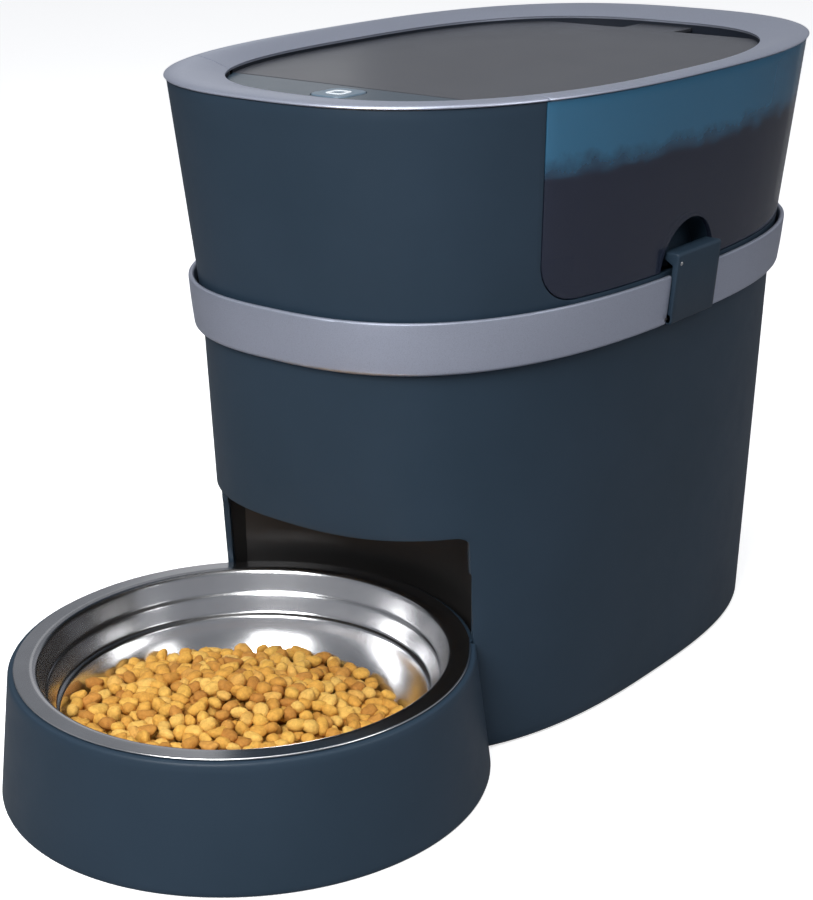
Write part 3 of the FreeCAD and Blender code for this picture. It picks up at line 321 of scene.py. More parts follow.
# The finger well and the funnel take the darker recess plastic in place of their own finish, as painted shade
# inside.
SHADED_RECESS_NODES = ("finger_well", "hopper_funnel")
for cad_name, cad_object in frame["nodes"].items():
    finish = "recess_plastic" if cad_name in SHADED_RECESS_NODES else SLOT_OF[cad_name]
    cad_object.data.materials.clear()
    cad_object.data.materials.append(MATERIALS[finish])


# ---- mesh helpers

def sharpen(mesh, degrees=32.0):
    """Smooth faces, with an edge left sharp where the surface turns by more than the angle."""
    form = bmesh.new()
    form.from_mesh(mesh)
    bmesh.ops.recalc_face_normals(form, faces=form.faces)
    for face in form.faces:
        face.smooth = True
    for edge in form.edges:
        edge.smooth = not edge.is_manifold or edge.calc_face_angle(0.0) < math.radians(degrees)
    form.to_mesh(mesh)
    form.free()


def add_to_scene(name, data):
    made = bpy.data.objects.new(name, data)
    bpy.context.scene.collection.objects.link(made)
    return made


def make_object(name, points, faces, material):
    mesh = bpy.data.meshes.new(name)
    mesh.from_pydata([Vector(point) * MM for point in points], [], faces)
    mesh.materials.append(MATERIALS[material])
    return add_to_scene(name, mesh)


def settle(thing, degrees=32.0):
    """Turn the modifiers into plain mesh, then set its smooth and sharp edges."""
    bpy.context.view_layer.update()
    graph = bpy.context.evaluated_depsgraph_get()
    mesh = bpy.data.meshes.new_from_object(thing.evaluated_get(graph))
    thing.modifiers.clear()
    thing.data = mesh
    sharpen(mesh, degrees)
    return thing


def solidify(thing, thickness, offset=-1.0):
    made = thing.modifiers.new("Thickness", "SOLIDIFY")
    made.thickness = thickness * MM
    made.offset = offset
    made.use_even_offset = True


def bevel(thing, width, segments=3, degrees=40.0):
    made = thing.modifiers.new("Edges", "BEVEL")
    made.width = width * MM
    made.segments = segments
    made.limit_method = "ANGLE"
    made.angle_limit = math.radians(degrees)
    made.use_clamp_overlap = True


def finish_piece(thing, body, slot, *nodes):
    """Ride on a body and stand for CAD nodes; the slot is not used."""
    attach(thing, body)
    if nodes:
        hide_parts(*nodes)
    return thing


def cut_with(thing, cutter):
    """Subtract a closed mesh, turned right way out first, and remove it."""
    sharpen(cutter.data)
    made = thing.modifiers.new("Cut", "BOOLEAN")
    made.operation = "DIFFERENCE"
    made.solver = "EXACT"
    made.object = cutter
    settle(thing)
    bpy.data.objects.remove(cutter)


# ---- oval forms

def middle_y(z):
    return HOUSING_Y - FOOT_LEAN * (1 - z / HEIGHT)


def between(low, high, z, inset=0.0):
    """Half width and half length between two sections at height z, drawn in by an inset."""
    part = (z - low[2]) / (high[2] - low[2])
    return tuple(low[i] + (high[i] - low[i]) * part - inset for i in (0, 1))


def lower_oval(z, inset=0.0):
    return (*between(FOOT, WAIST, z, inset), middle_y(z), PLAN_POWER)


def upper_oval(z, inset=0.0):
    return (*between(NECK, CROWN, z, inset), middle_y(z), PLAN_POWER)


def mouth_oval(inset=0.0):
    return (MOUTH[0] - inset, MOUTH[1] - inset, HOUSING_Y, MOUTH_POWER)


def on_oval(oval, angle):
    """Point of an oval at a polar angle round its centre."""
    a, b, y, power = oval
    c, s = math.cos(angle), math.sin(angle)
    radius = (abs(c / a) ** power + abs(s / b) ** power) ** (-1 / power)
    return radius * c, y + radius * s


def angle_at_y(oval, y):
    """Polar angle, on the right side, where the oval crosses a given y."""
    a, b, middle, power = oval
    share = min(1.0, abs((y - middle) / b))
    return math.atan2(y - middle, a * (1 - share ** power) ** (1 / power))


def angle_at_x(oval, x):
    """Polar angle, at the front, where the oval crosses a given x."""
    a, b, _, power = oval
    share = min(1.0, abs(x / a))
    return math.atan2(-b * (1 - share ** power) ** (1 / power), x)


def arc(oval, z, start, end, steps):
    """Points of an oval from one polar angle to another."""
    points = []
    for step in range(steps + 1):
        x, y = on_oval(oval, start + (end - start) * step / steps)
        points.append((x, y, z))
    return points


def grid_faces(rows, columns, closed_rows=False, closed_columns=False):
    """Quads of a grid of points stored row by row."""
    faces = []
    for row in range(rows if closed_rows else rows - 1):
        for column in range(columns if closed_columns else columns - 1):
            right = (column + 1) % columns
            above = (row + 1) % rows
            faces.append((row * columns + column, row * columns + right,
                          above * columns + right, above * columns + column))
    return faces


def windowed_sheet(name, rows, material, front_from=None, back_to=None, steps=(96, 128)):
    """Upright oval skin of rows (oval, z, right angle).

    The right angle parts each row into a front and a back arc. The front arc is
    there for rows from index front_from on, and the back arc up to row back_to.
    """
    front_steps, back_steps = steps
    columns = front_steps + back_steps
    points, faces = [], []
    for oval, z, right in rows:
        back = arc(oval, z, right, math.pi - right, back_steps)[:-1]
        front = arc(oval, z, math.pi - right, 2 * math.pi + right, front_steps)[:-1]
        points += back + front
    front_from = 0 if front_from is None else front_from
    back_to = len(rows) - 1 if back_to is None else back_to
    for row in range(len(rows) - 1):
        for column in range(columns):
            is_back = column < back_steps
            if is_back and row >= back_to or not is_back and row < front_from:
                continue
            right = (column + 1) % columns
            faces.append((row * columns + column, row * columns + right,
                          (row + 1) * columns + right, (row + 1) * columns + column))
    thing = make_object(name, points, faces, material)
    form = bmesh.new()
    form.from_mesh(thing.data)
    bmesh.ops.delete(form, geom=[vertex for vertex in form.verts if not vertex.link_faces], context="VERTS")
    form.to_mesh(thing.data)
    form.free()
    return thing


def ring_piece(name, profile, material, start=None, end=None, steps=200):
    """Closed section swept round an oval.

    The profile is a list of (oval, z). With start and end, functions from an oval
    to its first and last polar angle, it is an open arc with flat ends.
    """
    points = []
    for oval, z in profile:
        if start is None:
            points += arc(oval, z, 0.0, 2 * math.pi, steps)[:-1]
        else:
            points += arc(oval, z, start(oval), end(oval), steps)
    columns = steps if start is None else steps + 1
    faces = grid_faces(len(profile), columns, True, start is None)
    if start is not None:
        faces.append([row * columns for row in range(len(profile))])
        faces.append([row * columns + columns - 1 for row in range(len(profile))][::-1])
    return make_object(name, points, faces, material)


def fan_points(centre, radius, start, end, steps):
    """Points of a small arc in the (offset, z) plane, angles in degrees."""
    angles = [math.radians(start + (end - start) * step / steps) for step in range(steps + 1)]
    return [(centre[0] + radius * math.cos(angle), centre[1] + radius * math.sin(angle)) for angle in angles]


def levels(low, high, count):
    return [low + (high - low) * step / count for step in range(count + 1)]


# ---- housing

def lower_housing():
    """Lower shell with its alcove opening, whose top corners are slightly round."""
    corner, edge = 4.0, 1.6
    rows = []

    def add(z, inset, half_opening):
        oval = lower_oval(z, inset)
        rows.append((oval, z, angle_at_x(oval, half_opening)))

    for offset, z in fan_points((edge, FOOT_GAP + edge), edge, 270, 180, 3):
        add(z, offset, ALCOVE_HALF)
    for z in levels(FOOT_GAP + edge + 4, ALCOVE_TOP - corner, 20):
        add(z, 0.0, ALCOVE_HALF)
    for inset, z in fan_points((corner, ALCOVE_TOP - corner), corner, 180, 90, 5)[1:]:
        add(z, 0.0, ALCOVE_HALF - inset)
    top_of_opening = len(rows) - 1
    for z in levels(ALCOVE_TOP + 3, WAIST_Z, 14):
        add(z, 0.0, ALCOVE_HALF - corner)
    shell = windowed_sheet("lower_housing", rows, "housing_plastic", front_from=top_of_opening)
    solidify(shell, WALL - 0.2)
    bevel(shell, 1.3, 3, 50)
    settle(shell)
    cut_with(shell, rod_object("z", BOWL_RADIUS + 0.6, 40.0, BOWL_TOP + 33.0, 0.0, BOWL_Y, 160))
    return finish_piece(shell, "root", "housing_plastic", "base_shell")


def alcove_lining():
    """Smooth tunnel behind the opening: sides and round back swept up into the ceiling."""
    fillet, low, front_gap = 7.0, FOOT_GAP + 0.4, 2.6
    profile = [(0.1, z) for z in levels(low, ALCOVE_TOP - fillet, 8)]
    profile += fan_points((fillet, ALCOVE_TOP - fillet), fillet, 180, 90, 6)[1:]
    points = []
    for inset, z in profile:
        half, radius = ALCOVE_HALF - inset, ALCOVE_RADIUS - inset
        oval = lower_oval(z, front_gap)
        front_y = on_oval(oval, angle_at_x(oval, half))[1]
        reach = math.sqrt(radius ** 2 - half ** 2)
        start = math.atan2(reach, half)
        straight = [(half, y, z) for y in levels(front_y, BOWL_Y + reach, 8)[:-1]]
        back = []
        for angle in levels(start, math.pi - start, 48):
            back.append((radius * math.cos(angle), BOWL_Y + radius * math.sin(angle), z))
        points += straight + back + [(-x, y, z) for x, y, z in reversed(straight)]
    columns = len(points) // len(profile)
    lining = make_object("alcove_lining", points, grid_faces(len(profile), columns), "alcove_plastic")
    form = bmesh.new()
    form.from_mesh(lining.data)
    form.verts.ensure_lookup_table()
    oval = lower_oval(ALCOVE_TOP, front_gap)
    corner = angle_at_x(oval, ALCOVE_HALF - fillet)
    front = arc(oval, ALCOVE_TOP, math.pi - corner, 2 * math.pi + corner, 40)[1:-1]
    outline = [form.verts[len(points) - columns + index] for index in range(columns)]
    outline += [form.verts.new(Vector(point) * MM) for point in front]
    mouth = [form.verts.new(Vector((x, y, ALCOVE_TOP)) * MM) for x, y in CHUTE_MOUTH]
    edges = []
    for loop in (outline, mouth):
        for index, corner in enumerate(loop):
            after = loop[(index + 1) % len(loop)]
            edges.append(form.edges.get((corner, after)) or form.edges.new((corner, after)))
    bmesh.ops.triangle_fill(form, use_beauty=True, edges=edges)
    form.to_mesh(lining.data)
    form.free()
    solidify(lining, 1.6, 1.0)
    return finish_piece(settle(lining), "root", "alcove_plastic", "alcove_liner")


# ---- seam between front shell and tank

def seam_corner():
    """Where the seam's slanted line and flat bottom meet, and how far the round corner reaches."""
    foot_y = SEAM_TOP_Y + SEAM_SLOPE * (CROWN_Z - SEAM_BOTTOM)
    lean = math.atan(SEAM_SLOPE)
    reach = SEAM_CORNER * math.tan((math.pi / 2 - lean) / 2)
    return foot_y, lean, reach


def seam_y(z):
    """The seam's y at a height, round its lower corner."""
    foot_y, lean, reach = seam_corner()
    centre_y, centre_z = foot_y + reach, SEAM_BOTTOM + SEAM_CORNER
    if z >= SEAM_BOTTOM + reach * math.cos(lean):
        return foot_y - SEAM_SLOPE * (z - SEAM_BOTTOM)
    drop = centre_z - max(z, SEAM_BOTTOM)
    return centre_y - math.sqrt(max(0.0, SEAM_CORNER ** 2 - drop ** 2))


def seam_levels(first):
    """Heights that follow the round corner closely, then rise evenly to the crown."""
    _, lean, reach = seam_corner()
    top_of_corner = SEAM_BOTTOM + reach * math.cos(lean)
    turn = [SEAM_BOTTOM + SEAM_CORNER * (1 - math.cos(math.pi / 2 * step / 8)) for step in range(9)]
    turn = [z for z in turn if z < top_of_corner - 0.5]
    return [first] + [z for z in turn if z > first + 0.01] + levels(top_of_corner, CROWN_Z, 14)


def front_shell():
    """Upper shell in front of the seam; its low upstand runs on round the hopper's foot."""
    rows = []
    for z in levels(NECK_Z, SEAM_BOTTOM, 4)[:-1]:
        oval = upper_oval(z)
        rows.append((oval, z, angle_at_y(oval, seam_y(SEAM_BOTTOM))))
    bottom_row = len(rows)
    for z in seam_levels(SEAM_BOTTOM):
        oval = upper_oval(z)
        rows.append((oval, z, angle_at_y(oval, seam_y(z))))
    shell = windowed_sheet("front_housing", rows, "housing_plastic", back_to=bottom_row)
    solidify(shell, WALL - 0.2)
    bevel(shell, 0.5, 2, 50)
    settle(shell)
    half = LATCH_WIDTH / 2 + LATCH_GAP
    hollow_x, low_z, high_z = 103.2, 180.0, 203.0
    for side in (-1, 1):
        cutter = block_object(side * hollow_x, side * BEYOND_X, LATCH_Y - half, LATCH_Y + half, low_z, high_z)
        cut_with(shell, cutter)
    return finish_piece(shell, "root", "housing_plastic", "front_shell")


def closed_stack(name, points, rows, steps, material):
    """Closed body from a stack of loops with the same number of points."""
    faces = grid_faces(rows, steps, False, True)
    faces += [list(range(steps))[::-1], list(range((rows - 1) * steps, rows * steps))]
    made = make_object(name, points, faces, material)
    sharpen(made.data)
    return made


def block_object(x0, x1, y0, y1, z0, z1):
    """Closed block for cutting."""
    x0, x1 = sorted((x0, x1))
    corners = [(x, y, z) for z in (z0, z1) for x, y in ((x0, y0), (x1, y0), (x1, y1), (x0, y1))]
    faces = [(0, 3, 2, 1), (4, 5, 6, 7), (0, 1, 5, 4), (1, 2, 6, 5), (2, 3, 7, 6), (3, 0, 4, 7)]
    return make_object("cutter", corners, faces, "housing_plastic")


def rod_object(axis, radius, start, end, a, b, steps=64):
    """Closed cylinder for cutting, along x, y or z, centred at the other two coordinates."""
    points = []
    for along in (start, end):
        for step in range(steps):
            angle = 2 * math.pi * step / steps
            u, v = a + radius * math.cos(angle), b + radius * math.sin(angle)
            points.append({"x": (along, u, v), "y": (u, along, v), "z": (u, v, along)}[axis])
    return closed_stack("cutter", points, 2, steps, "housing_plastic")


def tank():
    """Translucent tank behind the seam, with a round-topped notch behind each latch."""
    shift = GAP + 0.05
    rows = []
    for z in seam_levels(SEAM_BOTTOM):
        oval = upper_oval(z + shift) if z + shift < CROWN_Z else upper_oval(CROWN_Z)
        rows.append((oval, min(z + shift, CROWN_Z), angle_at_y(oval, seam_y(z) + shift)))
    shell = windowed_sheet("tank_wall", rows, "tank_plastic", front_from=len(rows))
    solidify(shell, TANK_SHEET)
    bevel(shell, 0.5, 2, 50)
    settle(shell)
    for side in (-1, 1):
        notch = rod_object("x", NOTCH_RADIUS, side * INSIDE_X, side * BEYOND_X, NOTCH_Y, SEAM_BOTTOM)
        cut_with(shell, notch)
    finish_piece(shell, "hopper", "tank_plastic", "hopper_tank")
    for side, name in ((-1, "left"), (1, "right")):
        finish_piece(notch_pocket(side, f"notch_pocket_{name}"), "hopper", "tank_plastic")
        finish_piece(notch_rib(side, f"notch_rib_{name}"), "hopper", "tank_plastic")
    finish_piece(tank_front_wall(), "hopper", "tank_plastic")
    finish_piece(tank_floor(), "hopper", "tank_plastic")


def pocket_cutter(side, clearance):
    """Space to keep clear round the pocket behind a latch."""
    return rod_object("x", NOTCH_RADIUS + clearance, side * (NOTCH_FLOOR_X - 2.0), side * BEYOND_X, NOTCH_Y,
                      SEAM_BOTTOM)


def tank_front_wall():
    """Flat wall across the front of the tank, behind the front shell."""
    rows = levels(SEAM_BOTTOM + 0.2, LEDGE_Z - 2.5, 10)
    points = []
    for z in rows:
        half = wall_x(TANK_FRONT_Y, z, TANK_INSIDE)
        points += [(-half, TANK_FRONT_Y, z), (half, TANK_FRONT_Y, z), (half, TANK_FRONT_Y + TANK_SHEET, z),
                   (-half, TANK_FRONT_Y + TANK_SHEET, z)]
    return closed_stack("tank_front_wall", points, len(rows), 4, "tank_plastic")


def tank_floor():
    """Floor of the tank, with the opening the food drops through."""
    steps, rows = 120, (SEAM_BOTTOM + 0.2, SEAM_BOTTOM + 3.0)
    points = []
    for z in rows:
        for angle in levels(0.0, 2 * math.pi, steps)[:-1]:
            x, y = on_oval(upper_oval(z, TANK_INSIDE), angle)
            points.append((x, max(y, TANK_FRONT_Y + TANK_SHEET + 0.05), z))
    floor = closed_stack("tank_floor", points, len(rows), steps, "tank_plastic")
    low, high = span("drive_gear")
    for x0, x1, y0, y1 in ((-30.0, 30.0, -28.0, 146.0), (low.x - 2, high.x + 2, low.y - 2, high.y + 2)):
        cut_with(floor, block_object(x0, x1, y0, y1, SEAM_BOTTOM - 5.0, SEAM_BOTTOM + 10.0))
    for side in (-1, 1):
        cut_with(floor, pocket_cutter(side, 2.0))
    return floor


def notch_rib(side, name):
    """Small upright rib on the pocket's floor."""
    y = NOTCH_Y - 12.0
    rib = block_object(side * NOTCH_FLOOR_X, side * (NOTCH_FLOOR_X + 7.5), y, y + 2.0, SEAM_BOTTOM + 0.4,
                       SEAM_BOTTOM + 16.5)
    rib.name = name
    bevel(rib, 0.4, 2)
    return settle(rib)


def wall_x(y, z, inset=0.0):
    """Half width of the upper form at a given y and z."""
    a, b, middle, power = upper_oval(z, inset)
    return a * (1 - min(1.0, abs((y - middle) / b)) ** power) ** (1 / power)


def notch_pocket(side, name):
    """Half-round cup let into the tank's side."""
    steps, depth_steps = 40, 6
    points, faces = [], []
    for depth in range(depth_steps + 1):
        for step in range(steps + 1):
            angle = math.pi * step / steps
            y = NOTCH_Y - NOTCH_RADIUS * math.cos(angle)
            z = SEAM_BOTTOM + 0.5 + (NOTCH_RADIUS - 0.1) * math.sin(angle)
            outer = wall_x(y, z, 1.2)
            x = outer + (NOTCH_FLOOR_X - outer) * depth / depth_steps
            points.append((side * x, y, z))
    faces = grid_faces(depth_steps + 1, steps + 1)
    last = depth_steps * (steps + 1)
    centre = len(points)
    points.append((side * NOTCH_FLOOR_X, NOTCH_Y, SEAM_BOTTOM + 0.5))
    faces += [(last + step, last + step + 1, centre) for step in range(steps)]
    cup = make_object(name, points, faces, "housing_plastic")
    sharpen(cup.data)
    solidify(cup, 1.4, 1.0)
    return settle(cup)


# ---- trim band and rims

def around_front(y):
    """Start and end functions for an arc that runs round the front between two points at y."""
    return (lambda oval: math.pi - angle_at_y(oval, y)), (lambda oval: 2 * math.pi + angle_at_y(oval, y))


def around_rear(y):
    return (lambda oval: angle_at_y(oval, y)), (lambda oval: math.pi - angle_at_y(oval, y))


def band_profile():
    """Closed section of the band: round lip above, edge rolled in below."""
    lip, foot, wall = 1.3, 2.2, 2.4
    side = []

    def oval_at(z, inset):
        part = (z - BAND_LOW_Z) / (BAND_HIGH_Z - BAND_LOW_Z)
        return (BAND_LOW[0] + (BAND_HIGH[0] - BAND_LOW[0]) * part - inset,
                BAND_LOW[1] + (BAND_HIGH[1] - BAND_LOW[1]) * part - inset, middle_y(z), PLAN_POWER)

    outline = fan_points((foot, BAND_LOW_Z + foot), foot, 270, 180, 4)
    outline += [(-0.15, BAND_LOW_Z + 9.0), (-0.15, BAND_LOW_Z + 16.0)]
    outline += fan_points((lip, BAND_HIGH_Z - lip), lip, 180, 0, 6)
    outline += [(2 * lip + 0.1, BAND_HIGH_Z - 6.0), (wall + 0.3, BAND_LOW_Z + 6.0), (wall + 0.8, BAND_LOW_Z)]
    for inset, z in outline:
        side.append((oval_at(z, inset), z))
    return side


def trim_band():
    half = LATCH_WIDTH / 2 + LATCH_GAP
    profile = band_profile()
    front = ring_piece("trim_band_front_piece", profile, "silver_trim", *around_front(LATCH_Y - half))
    rear = ring_piece("trim_band_rear_piece", profile, "silver_trim", *around_rear(LATCH_Y + half))
    for piece, cad in ((front, "trim_band_front"), (rear, "trim_band_rear")):
        sharpen(piece.data)
        finish_piece(piece, "root", "silver_trim", cad)


def rim_oval(share, inset=0.0):
    """Oval between the rim's opening (0) and its outside (1)."""
    inner, outer = mouth_oval(), (RIM_HALF_WIDTH, RIM_HALF_LENGTH, middle_y(HEIGHT), PLAN_POWER)
    mixed = [inner[i] + (outer[i] - inner[i]) * share for i in range(4)]
    return (mixed[0] - inset, mixed[1] - inset, mixed[2], mixed[3])


RIM_EDGE = ((1.0, 0.0), (0.3, 0.15), (0.0, 0.6), (0.15, 1.0), (0.6, 1.35), (1.4, 1.65), (2.6, 1.88),
            (4.4, 2.1))
RIM_CREST = 6.5
INNER_WALL_LOW_Z = RIM_INNER_Z - 1.3


def rim_profile():
    """Closed section of the rim: thin round edge, broad dish down to the opening, and the skirt below."""
    outline = [(rim_oval(1.0, inset), RIM_LOW_Z + rise) for inset, rise in RIM_EDGE]
    crest = 1.0 - RIM_CREST / (RIM_HALF_WIDTH - MOUTH[0])
    for part in levels(1.0, 0.0, 9)[:-1]:
        sag = RIM_INNER_Z + (HEIGHT - RIM_INNER_Z) * (1 - (1 - part) ** 1.25)
        outline.append((rim_oval(crest * part), sag))
    lip = 0.5
    lip_points = fan_points((0.0, RIM_INNER_Z - lip), lip, 80, 0, 3)
    outline += [(mouth_oval(lip - inset), z) for inset, z in lip_points]
    outline += [(mouth_oval(0.0), INNER_WALL_LOW_Z), (rim_oval(0.08), INNER_WALL_LOW_Z)]
    outline += [(rim_oval(0.13), SKIRT_LOW_Z), (rim_oval(0.76), SKIRT_LOW_Z)]
    outline.append((rim_oval(0.77), RIM_LOW_Z - 0.1))
    return outline


def rims():
    front = ring_piece("front_rim_piece", rim_profile(), "silver_trim", *around_front(RIM_SPLIT_Y - GAP))
    rear = ring_piece("rear_rim_piece", rim_profile(), "silver_trim", *around_rear(RIM_SPLIT_Y + GAP))
    for piece, body, cad in ((front, "root", "front_rim"), (rear, "hopper", "rear_rim")):
        bevel(piece, 1.5, 4, 60)
        settle(piece, 40)
        finish_piece(piece, body, "silver_trim", cad)
    front_ledge = ledge("front_ledge", *around_front(RIM_SPLIT_Y - GAP))
    rear_ledge = ledge("rear_ledge", *around_rear(TANK_FRONT_Y))
    finish_piece(front_ledge, "root", "silver_trim")
    finish_piece(rear_ledge, "hopper", "silver_trim")


def ledge(name, start, end):
    """Step under the opening that carries the lid or the control panel, in the darker recess plastic as painted
    shade under the rim.
    """
    low = LEDGE_Z - 1.8
    profile = [(mouth_oval(4.0), low), (mouth_oval(4.0), LEDGE_Z - 0.3), (mouth_oval(3.7), LEDGE_Z),
               (mouth_oval(-0.1), LEDGE_Z), (mouth_oval(-0.1), INNER_WALL_LOW_Z - 0.1),
               (mouth_oval(-1.5), INNER_WALL_LOW_Z - 0.1), (mouth_oval(-2.2), low)]
    piece = ring_piece(name, profile, "recess_plastic", start, end)
    sharpen(piece.data)
    return piece


# ---- panel, button and lid

def plate(name, outline, holes, top, thickness, material, edge=0.35):
    """Flat plate with round edges over an outline and holes of (x, y) points."""
    form = bmesh.new()
    edges = []
    for loop in [outline] + holes:
        corners = [form.verts.new(Vector((x, y, top)) * MM) for x, y in loop]
        edges += [form.edges.new((corners[index], corners[(index + 1) % len(corners)]))
                  for index in range(len(corners))]
    bmesh.ops.triangle_fill(form, use_beauty=True, edges=edges)
    for face in form.faces:
        if face.normal.z < 0:
            face.normal_flip()
    bmesh.ops.dissolve_limit(form, angle_limit=0.01, verts=form.verts[:], edges=form.edges[:])
    mesh = bpy.data.meshes.new(name)
    form.to_mesh(mesh)
    form.free()
    mesh.materials.append(MATERIALS[material])
    made = add_to_scene(name, mesh)
    solidify(made, thickness)
    bevel(made, edge, 3, 50)
    settle(made)
    for face in made.data.polygons:
        if abs(face.normal.z) > 0.999:
            face.use_smooth = False
    return made


def rounded_rectangle(x, y, width, length, corner, steps=8):
    points = []
    for quarter, (sx, sy) in enumerate(((1, 1), (-1, 1), (-1, -1), (1, -1))):
        for step in range(steps + 1):
            angle = math.pi / 2 * (quarter + step / steps)
            points.append((x + sx * (width / 2 - corner) + corner * math.cos(angle),
                           y + sy * (length / 2 - corner) + corner * math.sin(angle)))
    return points


def flat_arc(oval, start, end, steps):
    return [point[:2] for point in arc(oval, 0.0, start, end, steps)]


def control_panel():
    oval = mouth_oval(0.5)
    angle = angle_at_y(oval, PANEL_REAR_Y)
    outline = flat_arc(oval, math.pi - angle, 2 * math.pi + angle, 120)
    hole = rounded_rectangle(0, BUTTON_Y, 20.6, 22.6, 6.0)
    panel = plate("control_panel_plate", outline, [hole], PLATE_TOP, 2.4, "panel_gloss")
    finish_piece(panel, "root", "panel_gloss", "control_panel")


def feed_button():
    pad = plate("feed_button_pad", rounded_rectangle(0, BUTTON_Y, 19.9, 21.9, 5.7), [], BUTTON_TOP - 0.05, 3.2,
                "button_plastic", 0.6)
    finish_piece(pad, "feed_button", "button_plastic", "feed_button")
    ring = plate("button_light_ring", rounded_rectangle(0, BUTTON_Y, 10.0, 10.0, 3.0),
                 [rounded_rectangle(0, BUTTON_Y, 6.0, 6.0, 1.6)], BUTTON_TOP + 0.12, 0.5, "light_ring", 0.12)
    finish_piece(ring, "feed_button", "light_ring", "button_ring")


LID_TONGUE_HALF = 16.5


def lid():
    """Lid plate with its tongue between two finger gaps."""
    oval = mouth_oval(0.5)
    front, rear = angle_at_y(oval, LID_FRONT_Y), angle_at_y(oval, LID_REAR_Y)
    tongue = math.acos(LID_TONGUE_HALF / oval[0])
    for _ in range(20):
        x, _y = on_oval(oval, tongue)
        tongue += (x - LID_TONGUE_HALF) / oval[1]
    right = flat_arc(oval, front, rear, 90)
    corner = 2.0
    inner = [(LID_TONGUE_HALF + corner - corner * math.sin(math.pi / 2 * step / 5),
              LID_REAR_Y + corner - corner * math.cos(math.pi / 2 * step / 5)) for step in range(6)]
    outline = right + inner + flat_arc(oval, tongue, math.pi - tongue, 16)
    outline += [(-x, y) for x, y in reversed(inner)] + [(-x, y) for x, y in reversed(right)]
    panel = plate("lid_plate", outline, [], PLATE_TOP, 2.3, "lid_plastic", 0.5)
    finish_piece(panel, "lid", "lid_plastic", "lid_panel")


# ---- latches

def latch(side, name):
    """Leaning plate with round edges, a knuckle at its foot and a nose at its head."""
    low, high, thick = 113.5, 117.0, 3.0
    foot_z, head_z = BAND_LOW_Z + 0.6, span("latch_right")[1].z
    outline = [(low - thick, foot_z + 0.6), (low - 0.6, foot_z), (low, foot_z + 1.0), (high, head_z - 1.6)]
    outline += fan_points((high - 1.6, head_z - 1.6), 1.6, 0, 90, 4)[1:]
    outline += [(high - thick - 6.0, head_z), (high - thick - 7.0, head_z - 2.0), (high - thick - 4.0, head_z - 4.0),
                (high - thick - 0.6, head_z - 6.0)]
    half, steps = LATCH_WIDTH / 2, 12
    points = []
    for step in range(steps + 1):
        y = LATCH_Y - half + LATCH_WIDTH * step / steps
        points += [(side * x, y, z) for x, z in outline]
    made = closed_stack(f"{name}_plate", points, steps + 1, len(outline), "housing_plastic")
    bevel(made, 0.55, 3, 50)
    settle(made, 40)
    finish_piece(made, name, "housing_plastic", name)
    knuckle = rod_object("y", 3.1, LATCH_Y - half, LATCH_Y + half, side * 110.5, 195.0, 32)
    knuckle.name = f"{name}_knuckle"
    bevel(knuckle, 0.4, 2)
    settle(knuckle)
    finish_piece(knuckle, name, "housing_plastic")
    stud_x, stud_y, stud_z = side * (high - 0.75), LATCH_Y - half + 3.2, head_z - 5.0
    dome = [(0.0, 0.9), (0.6, 0.8), (1.1, 0.35), (1.25, -0.4), (0.0, -0.4)]
    stud = turned(f"{name}_stud", dome, "screw_steel", 24)
    stud.data.transform(Matrix.Rotation(side * math.pi / 2, 4, "Y"))
    stud.data.transform(Matrix.Translation(Vector((stud_x, stud_y, stud_z)) * MM))
    sharpen(stud.data)
    finish_piece(stud, name, "screw_steel")


def turned(name, outline, material, steps=160, limit=None, centre=(0.0, 0.0)):
    """Solid turned from (radius, z) points; limit(angle, z) may hold the radius back."""
    points, faces = [], []
    rows = []
    for radius, z in outline:
        if radius < 1e-6:
            rows.append([len(points)])
            points.append((centre[0], centre[1], z))
            continue
        row = []
        for step in range(steps):
            angle = 2 * math.pi * step / steps
            reach = radius if limit is None else limit(angle, z, radius)
            row.append(len(points))
            points.append((centre[0] + reach * math.cos(angle), centre[1] + reach * math.sin(angle), z))
        rows.append(row)
    for index in range(len(rows) - 1):
        below, above = rows[index], rows[index + 1]
        for step in range(steps):
            after = (step + 1) % steps
            corners = [below[step % len(below)], below[after % len(below)],
                       above[after % len(above)], above[step % len(above)]]
            corners = list(dict.fromkeys(corners))
            if len(corners) > 2:
                faces.append(corners)
    made = make_object(name, points, faces, material)
    sharpen(made.data)
    return made


# ---- bowl and holder

def blocked(x, y, z):
    """Whether a point is where the housing stands, beside the alcove."""
    a, b, middle, power = lower_oval(max(0.0, z), -1.0)
    inside = abs(x / a) ** power + abs((y - middle) / b) ** power < 1
    return inside and abs(x) > ALCOVE_HALF - 1.2


def holder_radius(z):
    return HOLDER_FOOT + (HOLDER_TOP - HOLDER_FOOT) * z / HOLDER_HEIGHT


def holder_limit(angle, z, radius):
    """Radius of the holder, held back where the housing's corners stand beside it."""
    if not 0.5 < math.sin(angle) < 0.8:
        return radius
    skin = holder_radius(z)
    reach = skin - 12.0
    while reach < skin and not blocked(reach * math.cos(angle), BOWL_Y + reach * math.sin(angle), z):
        reach += 0.1
    return min(radius, reach if radius > skin - HOLDER_WALL / 2 else reach - HOLDER_WALL)


